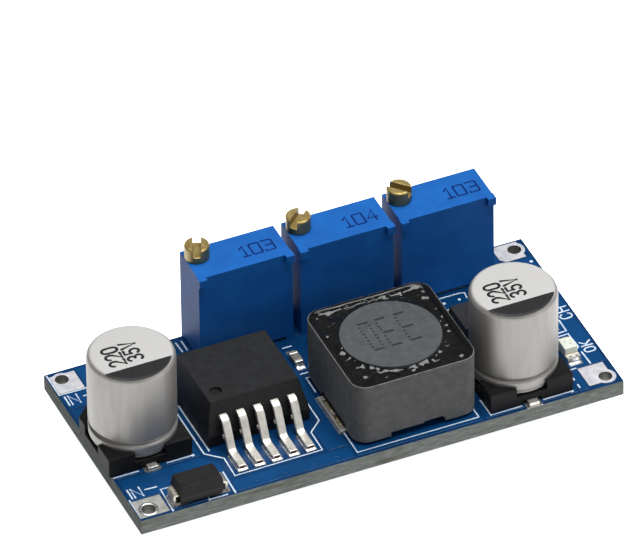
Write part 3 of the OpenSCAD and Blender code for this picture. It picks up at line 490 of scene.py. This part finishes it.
def segment_mesh(name, at, level, radius, chord, shoulder_from, shoulder_r):
    """A thin mark that fills the can's top beyond a chord and follows its rounded shoulder."""
    rows, columns = 10, 48
    reach = math.acos(chord / radius)
    shape = bmesh.new()
    grid = []
    for j in range(rows + 1):
        row = []
        for i in range(columns + 1):
            a = -math.pi / 2 - reach + 2 * reach * i / columns
            rim = Vector((math.cos(a), math.sin(a))) * radius
            start = Vector((rim.x, -chord))
            p = start.lerp(rim, j / rows)
            past = max(0.0, p.length - shoulder_from)
            drop = shoulder_r - math.sqrt(max(0.0, shoulder_r ** 2 - past ** 2))
            row.append((p.x + at[0], p.y + at[1], level - drop))
        grid.append(row)
    verts = [[shape.verts.new(p) for p in row] for row in grid]
    for j in range(rows):
        for i in range(columns):
            shape.faces.new((verts[j][i], verts[j][i + 1], verts[j + 1][i + 1], verts[j + 1][i]))
    bmesh.ops.remove_doubles(shape, verts=shape.verts, dist=1e-4)
    made = bmesh.ops.extrude_face_region(shape, geom=shape.faces[:])["geom"]
    raised = [v for v in made if isinstance(v, bmesh.types.BMVert)]
    bmesh.ops.translate(shape, vec=(0, 0, 0.006), verts=raised)
    return from_bmesh(name, shape, 30)


can_metal = can_finish()
black_ink = finish("black_ink", (30, 30, 33), (20, 20, 22), 0.25, (0.3, 0.5), 0.08, 0.006)
base_black = finish("base_plastic", (27, 27, 28), (19, 19, 20), 1.2, (0.5, 0.65), 0.1, 0.01,
                    Specular_IOR_Level=0.15)
lead_tin = tinned("lead_tin", (226, 223, 216), (204, 201, 192), (0.36, 0.5), patch=0.8, depth=0.012)
shoulder_r = 0.55
groove_half, groove_depth = 0.38, 0.36
for side in ("input", "output"):
    low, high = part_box(side + "_capacitor_can")
    at = ((low.x + high.x) / 2 / MM, (low.y + high.y) / 2 / MM)
    can_r = (high.x - low.x) / 2 / MM
    foot, top = low.z / MM, high.z / MM
    flange_low, flange_high = foot + 0.5, foot + 1.3
    groove = flange_high + 0.45
    profile = [(0, foot), (can_r - 0.75, foot)]
    profile += [(can_r - 0.42 + 0.24 * math.cos(math.radians(a)),
                 foot + 0.24 + 0.24 * math.sin(math.radians(a)))
                for a in range(-90, 31, 20)]
    profile += [(can_r - 0.16, flange_low - 0.1), (can_r - 0.1, flange_low),
                (can_r - 0.03, flange_low + 0.06), (can_r, flange_low + 0.16), (can_r, flange_high - 0.12)]
    profile += [(can_r - groove_depth * math.cos(math.radians(90 * t)) ** 2, groove + groove_half * t)
                for t in [i / 8 for i in range(-8, 9)]]
    profile += [(can_r - shoulder_r * (1 - math.cos(math.radians(a))),
                 top - shoulder_r * (1 - math.sin(math.radians(a)))) for a in range(0, 91, 9)]
    profile += [(0, top)]
    name = side + "_capacitor_drawn_can"
    can = piece(name, turned(name, profile, at), can_metal, "module")
    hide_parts(side + "_capacitor_can")
    name = side + "_capacitor_minus_mark"
    mark = segment_mesh(name, (at[0] - 0.1, at[1] - 0.22), top - 0.002, 3.75, 1.78,
                        can_r - shoulder_r, shoulder_r)
    piece(name, mark, black_ink, "module")
    values = (letters("220", 1.5, (at[0] - 1.0, at[1] - 1.37), turn=90, gap=0.19, width=0.78)
              + letters("35V", 1.42, (at[0] + 0.76, at[1] - 1.27), turn=90, gap=0.19, width=0.8))
    pen_lines(side + "_capacitor_value", values, 0.28, top, 0.004, black_ink, "module")
    ease_edges(dress(side + "_capacitor_base", base_black), 0.08)
    ease_edges(dress(side + "_capacitor_leads", lead_tin), 0.05)

# ------------------------------------------------------------------------------------ solder
# Each soldered end stands in a bright fillet that climbs its face and thins out over the land.
# The hole that reads IN- was soldered before, and keeps a dull ring round it.

copy_tree, given, result = new_tree("copies", Part="Object", Material="Material")
model = add(copy_tree, "GeometryNodeObjectInfo", {"Object": given.outputs["Part"]})
spots = add(copy_tree, "GeometryNodeInstanceOnPoints", {
    "Points": given.outputs["Geometry"], "Instance": model.outputs["Geometry"]})
solid = add(copy_tree, "GeometryNodeRealizeInstances", {"Geometry": spots.outputs[0]})
coated = add(copy_tree, "GeometryNodeSetMaterial", {
    "Geometry": solid.outputs[0], "Material": given.outputs["Material"]})
copy_tree.links.new(coated.outputs[0], result.inputs[0])


def repeated(name, mesh, points, material, body):
    """The same small mesh at each of the points, as one piece."""
    part = bpy.data.objects.new(name + "_part", mesh)
    bpy.context.scene.collection.objects.link(part)
    made = grown(name, point_mesh(name + "_points", points), copy_tree, {"Part": part, "Material": material})
    bpy.data.objects.remove(part)
    return piece(name, made, material, body)


def fillet_mesh(name, width, reach, height, turn):
    """A concave ramp of solder: its tall side at the origin, its toe out along the direction turn."""
    shape = bmesh.new()
    steps, across = 10, 8
    cos, sin = math.cos(math.radians(turn)), math.sin(math.radians(turn))
    rows = []
    for i in range(steps + 1):
        t = i / steps
        half = width / 2 * (1 - 0.25 * t ** 3)
        row = []
        for j in range(across + 1):
            side = 2 * j / across - 1
            crown = 1 - 0.5 * abs(side) ** 4
            rise = height * ((1 - t) ** 2.2) * crown + 0.012 * (1 - t)
            out, along = reach * t * (1 - 0.12 * side ** 4), half * side
            row.append(shape.verts.new((out * cos - along * sin, out * sin + along * cos, rise)))
        rows.append(row)
    base = [[shape.verts.new((v.co.x, v.co.y, 0)) for v in row] for row in rows]
    for i in range(steps):
        for j in range(across):
            shape.faces.new((rows[i][j], rows[i + 1][j], rows[i + 1][j + 1], rows[i][j + 1]))
            shape.faces.new((base[i][j], base[i][j + 1], base[i + 1][j + 1], base[i + 1][j]))
    for i in range(steps):
        for j in (0, across):
            shape.faces.new((rows[i][j], rows[i + 1][j], base[i + 1][j], base[i][j]))
    for j in range(across):
        for i in (0, steps):
            shape.faces.new((rows[i][j], rows[i][j + 1], base[i][j + 1], base[i][j]))
    return from_bmesh(name, shape, 50)


land_level = board_top + 0.05
solder = finish("solder", (226, 227, 230), (196, 198, 204), 0.5, (0.16, 0.3), 0.2, 0.01, metallic=0.9)


def fillets(name, points, width, reach, height, turn):
    """Solder at each of the points of a land, all facing the same way."""
    places = [(x, y, land_level) for x, y in points]
    repeated(name, fillet_mesh(name, width, reach, height, turn), places, solder, "module")


# A worn ring of solder round the hole that reads IN-
in_minus_hole = (-22.86, -10.16)
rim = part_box("terminal_in_minus")[1].z / MM
profile = [(0.67, rim - 0.01), (0.67, rim + 0.03), (0.78, rim + 0.07), (0.9, rim + 0.03),
           (0.94, rim - 0.01)]
piece("in_minus_ring", turned("in_minus_ring", profile + profile[:1], in_minus_hole), solder,
      "module")

# -------------------------------------------------------------------------------- regulator
# The switching regulator is black epoxy moulded round a tinned copper tab and five leads. The
# leads were cut from one strip: a small nub of its cross bar stays on each, and bare copper
# shows at the cut ends.


def epoxy(name, light, dark, rough=(0.42, 0.6), **sockets):
    return finish(name, light, dark, 0.7, rough, 0.07, 0.012, Specular_IOR_Level=0.16, **sockets)


ease_edges(dress("regulator_body", epoxy("regulator_epoxy", (37, 38, 39), (31, 31, 32))), 0.12, 3)
ease_edges(dress("regulator_tab", tinned("tab_tin", (200, 200, 198), (160, 160, 156), (0.3, 0.45))), 0.06)
ease_edges(dress("regulator_leads", lead_tin), 0.09, 3)

leads_low, leads_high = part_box("regulator_leads")
lead_pitch = (leads_high.x - leads_low.x - 0.8 * MM) / 4 / MM
lead_x = [leads_low.x / MM + 0.4 + lead_pitch * i for i in range(5)]
lead_tip = leads_low.y / MM
shape = bmesh.new()
bmesh.ops.create_cube(shape, size=1, matrix=Matrix.Diagonal((0.16, 0.3, 0.34, 1)))
bmesh.ops.bevel(shape, geom=shape.edges[:], offset=0.04, segments=2, affect="EDGES")
nub = from_bmesh("lead_nub", shape, 40)
repeated("regulator_lead_nubs", nub, [(x - 0.45, lead_tip + 3.28, 3.15) for x in lead_x], lead_tin,
         "module")
shape = bmesh.new()
bmesh.ops.create_cube(shape, size=1, matrix=Matrix.Diagonal((0.54, 0.03, 0.26, 1)))
cut_end = from_bmesh("cut_end", shape)
bare_copper = finish("bare_copper", (120, 78, 50), (84, 52, 36), 0.2, (0.4, 0.6), 0.08, 0.01, metallic=0.6)
repeated("regulator_cut_ends", cut_end, [(x, lead_tip - 0.01, board_top + 0.28) for x in lead_x],
         bare_copper, "module")
fillets("regulator_toe_solder", [(x, lead_tip + 0.02) for x in lead_x], 0.95, 0.28, 0.12, -90)
fillets("regulator_left_solder", [(x - 0.38, lead_tip + 1.1) for x in lead_x], 2.0, 0.14, 0.22, 180)
fillets("regulator_right_solder", [(x + 0.38, lead_tip + 1.1) for x in lead_x], 2.0, 0.14, 0.22, 0)
tab_low, tab_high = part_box("regulator_tab")
tab_back = ((tab_low.x + tab_high.x) / 2 / MM, tab_high.y / MM - 0.02)
fillets("regulator_tab_solder", [tab_back], 8.0, 0.22, 0.5, 90)

body_low, body_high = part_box("regulator_body")
dimple = finish("polished_dimple", (18, 18, 19), (13, 13, 14), 0.3, (0.3, 0.4), 0.1, 0.004)
pen_lines("regulator_dimple", [[((body_low.x + body_high.x) / 2 / MM - 3.25, body_low.y / MM + 2.4)]], 1.08,
          body_high.z / MM - 0.3, 0.01, dimple, "module")

# --------------------------------------------------------------------------------- inductor
# A wound ferrite drum in a square ferrite shield. Black resin was poured round the drum's top
# disc and set glossy and uneven. Its value is printed on the disc in dots, upside down, and its
# wire ends are soldered in the windows of the two tinned clips.

shield_low, shield_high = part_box("inductor_shield")
middle = ((shield_low.x + shield_high.x) / 2 / MM, (shield_low.y + shield_high.y) / 2 / MM)
rim_level = shield_high.z / MM
disc_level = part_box("inductor_core")[1].z / MM
shield_ferrite = epoxy("shield_ferrite", (126, 126, 126), (111, 111, 110), (0.5, 0.65))
ease_edges(dress("inductor_shield", shield_ferrite), 0.1)
ease_edges(dress("inductor_core", epoxy("core_ferrite", (82, 85, 88), (73, 76, 79), (0.5, 0.65))), 0.08)
dress("inductor_base", base_black)
ease_edges(dress("inductor_terminals", lead_tin), 0.04)
dress("inductor_winding", finish("copper_wire", (196, 120, 66), (160, 90, 45), 0.5, (0.25, 0.4), 0.1, 0.004,
                                 metallic=0.9))

# The resin's surface between the disc and the shield's rim, raised where it clings to them
disc_r, well_half, well_r, floor_level = 4.75, 5.75, 1.1, rim_level - 0.65
resin_level = rim_level - 0.25


def square_edge(a, half, corner_r):
    """How far a square with rounded corners reaches from its middle, in a direction."""
    cos, sin = abs(math.cos(a)), abs(math.sin(a))
    straight = half / max(cos, sin)
    corner = half - corner_r
    if min(cos, sin) * straight <= corner:
        return straight
    along = corner * (cos + sin)
    return along + math.sqrt(max(0.0, along ** 2 - 2 * corner ** 2 + corner_r ** 2))


spokes, steps = 300, 26
shape = bmesh.new()
rings = []
for j in range(steps + 1):
    ring = []
    for i in range(spokes):
        a = 2 * math.pi * i / spokes
        well, outer = square_edge(a, well_half, well_r), square_edge(a, well_half + 0.32, well_r + 0.32)
        r = disc_r - 0.02 + (outer - disc_r + 0.02) * j / steps
        x, y = r * math.cos(a), r * math.sin(a)
        broad = noise.noise(Vector((x * 0.9, y * 0.9, 2.0)))
        small = noise.noise(Vector((x * 2.1, y * 2.1, 5.0)))
        lump = broad * 0.12 + small * 0.09
        within = 1 / (1 + math.exp((r - well + 0.12) / (0.045 + 0.03 * (well - well_half))))
        cling = 0.11 + 0.1 * noise.noise(Vector((x * 0.8, y * 0.8, 12.0)))
        pooled = resin_level + lump + cling * math.exp(-(r - disc_r) / 0.26)
        film = rim_level + 0.035 + 0.02 * noise.noise(Vector((x * 2.2, y * 2.2, 9.0)))
        ring.append(shape.verts.new((middle[0] + x, middle[1] + y, film + (pooled - film) * within)))
    rings.append(ring)
for half, corner_r, level in ((well_half + 0.32, well_r + 0.32, rim_level),
                              (well_half - 0.01, well_r, rim_level),
                              (well_half - 0.01, well_r, floor_level), (0, 0, floor_level)):
    ring = []
    for i in range(spokes):
        a = 2 * math.pi * i / spokes
        r = square_edge(a, half, corner_r) if half else disc_r - 0.02
        ring.append(shape.verts.new((middle[0] + r * math.cos(a), middle[1] + r * math.sin(a), level)))
    rings.append(ring)
for inner, outer in zip(rings, rings[1:] + rings[:1]):
    for i in range(spokes):
        k = (i + 1) % spokes
        shape.faces.new((inner[i], outer[i], outer[k], inner[k]))
resin = finish("potting_resin", (22, 23, 23), (14, 14, 15), 1.0, (0.1, 0.17), 0.7, 0.014, IOR=1.5)
pour = piece("inductor_poured_resin", from_bmesh("inductor_poured_resin", shape, 60), resin,
             "module")
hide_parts("inductor_resin")

# The value 330 reads from the board's back edge: cross bars are dashes, upright bars are dots
marks = []
for low_x, high_x, kind in ((5.3, 6.38, "3"), (3.42, 4.42, "3"), (1.7, 2.68, "0")):
    bars = (-1.7, -3.7, -5.7) if kind == "3" else (-1.7, -5.7)
    marks += [[(low_x + 0.08, y), (high_x - 0.08, y)] for y in bars]
    uprights = [low_x] if kind == "3" else [low_x, high_x]
    marks += [[(x, -2.2 - 0.5 * k)] for x in uprights for k in range(7) if kind == "0" or k != 3]
disc_ink = finish("disc_ink", (30, 31, 34), (22, 23, 26), 0.3, (0.4, 0.6), 0.1, 0.004)
pen_lines("inductor_value", marks, 0.27, disc_level, 0.004, disc_ink, "module")

clips_low, clips_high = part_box("inductor_terminals")
clips_y = (clips_low.y + clips_high.y) / 2 / MM
fillets("inductor_left_solder", [(clips_low.x / MM + 0.01, clips_y)], 5.3, 0.15, 0.2, 180)
fillets("inductor_right_solder", [(clips_high.x / MM - 0.01, clips_y)], 5.3, 0.15, 0.2, 0)
# A flattened wire end with solder and flux round it in each window
shape = bmesh.new()
flattened = Matrix.Diagonal((0.24, 0.85, 0.1, 1))
bmesh.ops.create_uvsphere(shape, u_segments=20, v_segments=10, radius=1, matrix=flattened)
flux = finish("flux_and_wire", (196, 188, 160), (112, 96, 68), 0.35, (0.2, 0.36), 0.15, 0.02, metallic=0.4)
window_x = (clips_low.x / MM + 0.54, clips_high.x / MM - 0.54)
repeated("inductor_wire_ends", from_bmesh("wire_end", shape, 80),
         [(x, clips_y + side * 1.13, land_level + 0.05) for x in window_x for side in (-1, 1)],
         flux, "module")

# ------------------------------------------------------------------------------------ diode
# The diode is a flat block moulded in black epoxy. Its two broad tinned leads come out of its
# ends, fold down and turn in under the body, where they are soldered.

ease_edges(dress("diode_body", epoxy("diode_epoxy", (35, 34, 34), (28, 27, 27), (0.45, 0.6))), 0.07)
diode_tin = tinned("diode_tin", (214, 208, 194), (192, 186, 172), (0.3, 0.45), depth=0.008)
ease_edges(dress("diode_leads", diode_tin), 0.05)
diode_low, diode_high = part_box("diode_leads")
diode_y = (diode_low.y + diode_high.y) / 2 / MM
fillets("diode_left_solder", [(diode_low.x / MM + 0.01, diode_y)], 1.5, 0.22, 0.4, 180)
fillets("diode_right_solder", [(diode_high.x / MM - 0.01, diode_y)], 1.5, 0.22, 0.4, 0)

# --------------------------------------------------------------------------------- trimmers
# Three multi-turn trimmers in blue plastic. The resistance code is pressed into each top in
# dark blue. A slotted brass screw turns a toothed rotor with a spring wiper inside.

trimmer_blue = finish("trimmer_plastic", (20, 97, 178), (17, 88, 166), 2.5, (0.46, 0.58), 0.09, 0.004,
                      Specular_IOR_Level=0.19)
brass = finish("screw_brass", (214, 192, 128), (186, 162, 98), 0.5, (0.3, 0.46), 0.12, 0.006, metallic=0.9)
# Faces of the brass that look sideways are painted darker: painted shade on the screws' sides
tree, shader = brass.node_tree, brass.node_tree.nodes["Principled BSDF"]
turned_face = shader.inputs["Base Color"].links[0].from_socket
brass_side_shade = blend_colours(tree, spread(tree, facing_up(tree), 0.4, 0.7), paint(138, 123, 86), turned_face)
tree.links.new(brass_side_shade, shader.inputs["Base Color"])
rotor_white = epoxy("rotor_plastic", (214, 210, 200), (200, 196, 184))
element_white = epoxy("element_ceramic", (230, 230, 226), (212, 212, 208))
code_ink = finish("code_ink", (4, 44, 112), (3, 34, 96), 0.3, (0.5, 0.6), 0.08, 0.004, Specular_IOR_Level=0.1)
codes = (("voltage", -5.28, "3"), ("lamp", 5.1, "4"), ("current", 15.3, "3"))
for trimmer, start, last in codes:
    ease_edges(dress(trimmer + "_trimmer_housing", trimmer_blue), 0.09, 3)
    ease_edges(dress(trimmer + "_trimmer_screw", brass), 0.06)
    dress(trimmer + "_trimmer_rotor", rotor_white)
    dress(trimmer + "_trimmer_wiper", brass)
    dress(trimmer + "_trimmer_element", element_white)
    dress(trimmer + "_trimmer_pins", lead_tin)
    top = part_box(trimmer + "_trimmer_housing")[1].z / MM
    code = (letters(["1"], 1.5, (start, 8.27)) + letters(["square 0"], 1.5, (start + 1.07, 8.27))
            + letters(["square 3" if last == "3" else "4"], 1.5, (start + 2.35, 8.27)))
    pen_lines(trimmer + "_trimmer_code", code, 0.2, top, 0.004, code_ink, "module")
dress("trimmer_seal_rings", finish("seal_rubber", (30, 30, 30), (22, 22, 22), 0.5, (0.5, 0.6), 0.1, 0.004))
dress("trimmer_bottom_seals", finish("seal_resin", (28, 70, 130), (22, 58, 112), 0.8, (0.3, 0.45), 0.2, 0.02))
dress("pin_solder_joints", solder)

# ------------------------------------------------------------------------------ small chips
# The amplifier and the reference regulator are moulded chips. The shunt, the capacitor and the
# resistors are ceramic chips with tinned ends.

ease_edges(dress("amplifier_body", epoxy("amplifier_epoxy", (46, 46, 49), (38, 38, 40))), 0.05)
ease_edges(dress("amplifier_leads", lead_tin), 0.03)
ease_edges(dress("reference_regulator_body", epoxy("reference_epoxy", (44, 44, 47), (36, 36, 38))), 0.05)
ease_edges(dress("reference_regulator_leads", lead_tin), 0.04)
shunt_glaze = finish("shunt_glaze", (34, 36, 36), (26, 28, 28), 0.6, (0.3, 0.45), 0.1, 0.006)
ease_edges(dress("shunt_resistor_body", shunt_glaze), 0.04)
ease_edges(dress("shunt_resistor_ends", lead_tin), 0.05)
chip_ceramic = finish("chip_ceramic", (122, 118, 112), (104, 99, 92), 0.4, (0.4, 0.55), 0.1, 0.006)
ease_edges(dress("chip_capacitor_body", chip_ceramic), 0.06)
ease_edges(dress("chip_capacitor_ends", lead_tin), 0.07)
resistor_glaze = finish("resistor_glaze", (30, 30, 32), (22, 22, 24), 0.4, (0.3, 0.45), 0.1, 0.006)
ease_edges(dress("chip_resistor_bodies", resistor_glaze), 0.03)
ease_edges(dress("chip_resistor_ends", lead_tin), 0.04)
chip_low, chip_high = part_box("chip_capacitor_ends")
chip_x = (chip_low.x + chip_high.x) / 2 / MM
fillets("chip_front_solder", [(chip_x, chip_low.y / MM + 0.02)], 0.85, 0.66, 0.4, -90)
fillets("chip_back_solder", [(chip_x, chip_high.y / MM - 0.02)], 0.85, 0.5, 0.3, 90)
amp_low, amp_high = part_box("amplifier_leads")
amp_x = [(amp_low.x + amp_high.x) / 2 / MM + 1.27 * k for k in (-1.5, -0.5, 0.5, 1.5)]
fillets("amplifier_front_solder", [(x, amp_low.y / MM + 0.02) for x in amp_x], 0.5, 0.12, 0.16, -90)
fillets("amplifier_back_solder", [(x, amp_high.y / MM - 0.02) for x in amp_x], 0.5, 0.12, 0.16, 90)

# ---------------------------------------------------------------------------- indicator lamps
# Two small lamps: a cream base and a cast lens, with two holes left by the mould in the metal at each end,
# drawn as flat dark discs of painted shade.

lamp_base = finish("lamp_base_plastic", (228, 226, 210), (208, 205, 186), 0.5, (0.4, 0.55), 0.1, 0.006)
lamp_lens = finish("lamp_lens_resin", (240, 240, 226), (228, 227, 206), 0.6, (0.18, 0.3), 0.2, 0.004,
                   Subsurface_Weight=0.15)
dark_speck_and_hole_shade = finish("dark_speck_and_hole_shade", (40, 38, 34), (28, 26, 24), 0.2, (0.5, 0.6), 0.1, 0.002)
for lamp in ("ready", "charge"):
    ease_edges(dress(lamp + "_lamp_base", lamp_base), 0.05)
    ease_edges(dress(lamp + "_lamp_lens", lamp_lens), 0.08, 3)
    low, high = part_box(lamp + "_lamp_base")
    x = (low.x + high.x) / 2 / MM
    y = (low.y + high.y) / 2 / MM
    # the tinned ends fold over the base on both sides of the lens
    shape = bmesh.new()
    for side in (-1, 1):
        outer, inner = y + side * 1.51, y + side * 1.1
        add_plate(shape, [(x - 0.66, inner), (x + 0.66, inner), (x + 0.66, outer), (x - 0.66, outer)],
                  land_level - 0.02, high.z / MM + 0.03)
    piece(lamp + "_lamp_ends", from_bmesh(lamp + "_lamp_ends", shape), lead_tin, "module")
    fillets(lamp + "_lamp_front_solder", [(x, y - 1.5)], 1.2, 0.5, 0.36, -90)
    fillets(lamp + "_lamp_back_solder", [(x, y + 1.5)], 1.2, 0.5, 0.36, 90)
    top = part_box(lamp + "_lamp_lens")[1].z / MM
    pen_lines(lamp + "_lamp_specks", [[(x - 0.18, y + 0.2)], [(x + 0.2, y - 0.22)]], 0.13, top, 0.003,
              dark_speck_and_hole_shade, "module")
    # The end holes are flat dark discs: painted shade where the holes would be
    pen_lines(lamp + "_lamp_end_holes", [[(x - 0.3, y - 1.3)], [(x + 0.3, y - 1.3)]], 0.2, high.z / MM + 0.03,
              0.003, dark_speck_and_hole_shade, "module")

# ------------------------------------------------------------------------ floor, light, camera
# A white card on a table, under soft light from a large panel overhead and a weak one in front.
# The card is lit by itself, so that it shows plain white, and stays dark under the module.
pin_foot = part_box("voltage_trimmer_pins")[0].z
shape = bmesh.new()
add_plate(shape, [(-900, -700), (900, -700), (900, 900), (-900, 900)], pin_foot / MM - 2, pin_foot / MM)
table = bpy.data.objects.new("table", from_bmesh("table", shape))
bpy.context.scene.collection.objects.link(table)
card = finish("white_card", (246, 246, 246), (244, 244, 244), 60, (0.7, 0.8), 3.0, 0.01)
card.node_tree.nodes["Principled BSDF"].inputs["Emission Color"].default_value = (1.0, 1.0, 1.0, 1.0)
# Under the module the card gives no light, as it would lie in shadow
spot = add(card.node_tree, "ShaderNodeTexCoord").outputs["Object"]
parts = add(card.node_tree, "ShaderNodeSeparateXYZ", {0: spot}).outputs
lit = 1.0
for axis, low, high in (("X", -0.0233, 0.0243), ("Y", -0.0099, 0.0116)):
    off = add(card.node_tree, "ShaderNodeMath", {0: parts[axis], 1: (low + high) / 2}, operation="SUBTRACT")
    off = add(card.node_tree, "ShaderNodeMath", {0: off.outputs[0]}, operation="ABSOLUTE").outputs[0]
    near = spread(card.node_tree, off, (high - low) / 2 - 0.0002, (high - low) / 2, 1.0, 0.0)
    lit = add(card.node_tree, "ShaderNodeMath", {0: near, 1: lit}, operation="MULTIPLY").outputs[0]
lit = add(card.node_tree, "ShaderNodeMath", {0: 1.0, 1: lit}, operation="SUBTRACT").outputs[0]
card.node_tree.links.new(lit, card.node_tree.nodes["Principled BSDF"].inputs["Emission Strength"])
table.data.materials.append(card)
# The card must not light the module from below
table.visible_diffuse = False

scene = bpy.context.scene
scene.view_settings.view_transform = "Standard"
scene.world = bpy.data.worlds.new("studio")
scene.world.use_nodes = True
surround = scene.world.node_tree.nodes["Background"]
surround.inputs["Color"].default_value = (1.0, 1.0, 1.0, 1.0)
surround.inputs["Strength"].default_value = 0.11


def panel(name, place, aim, size, power):
    """A square lamp at a place, turned to face its aim."""
    light = bpy.data.lights.new(name, "AREA")
    light.shape = "SQUARE"
    light.size = size
    light.energy = power
    holder = bpy.data.objects.new(name, light)
    holder.location = place
    holder.rotation_mode = "QUATERNION"
    holder.rotation_quaternion = (Vector(place) - Vector(aim)).to_track_quat("Z", "Y")
    scene.collection.objects.link(holder)


panel("overhead_panel", (0.06, 0.0, 0.42), (0, 0, 0), 0.34, 2.5)
panel("front_panel", (0.30, -0.40, 0.20), (0, 0, 0), 0.24, 0.48)

azimuth, elevation, roll = math.radians(-23.186), math.radians(39.076), math.radians(-0.862)
distance, aim = 1.2131, Vector((0.0039085, 0.0119285, 0.004))
back = Vector((math.sin(azimuth) * math.cos(elevation), -math.cos(azimuth) * math.cos(elevation),
               math.sin(elevation)))
level = (-back).cross(Vector((0, 0, 1))).normalized()
upright = level.cross(-back)
right = level * math.cos(roll) + upright * math.sin(roll)
above = upright * math.cos(roll) - level * math.sin(roll)
lens = bpy.data.cameras.new("camera")
lens.sensor_width = 36
lens.lens = 13094.1 * 36 / 640
lens.clip_start, lens.clip_end = 0.1, 5
camera = bpy.data.objects.new("camera", lens)
scene.collection.objects.link(camera)
scene.camera = camera
turn = Matrix((right, above, back)).transposed()
camera.matrix_world = Matrix.Translation(aim + back * distance) @ turn.to_4x4()
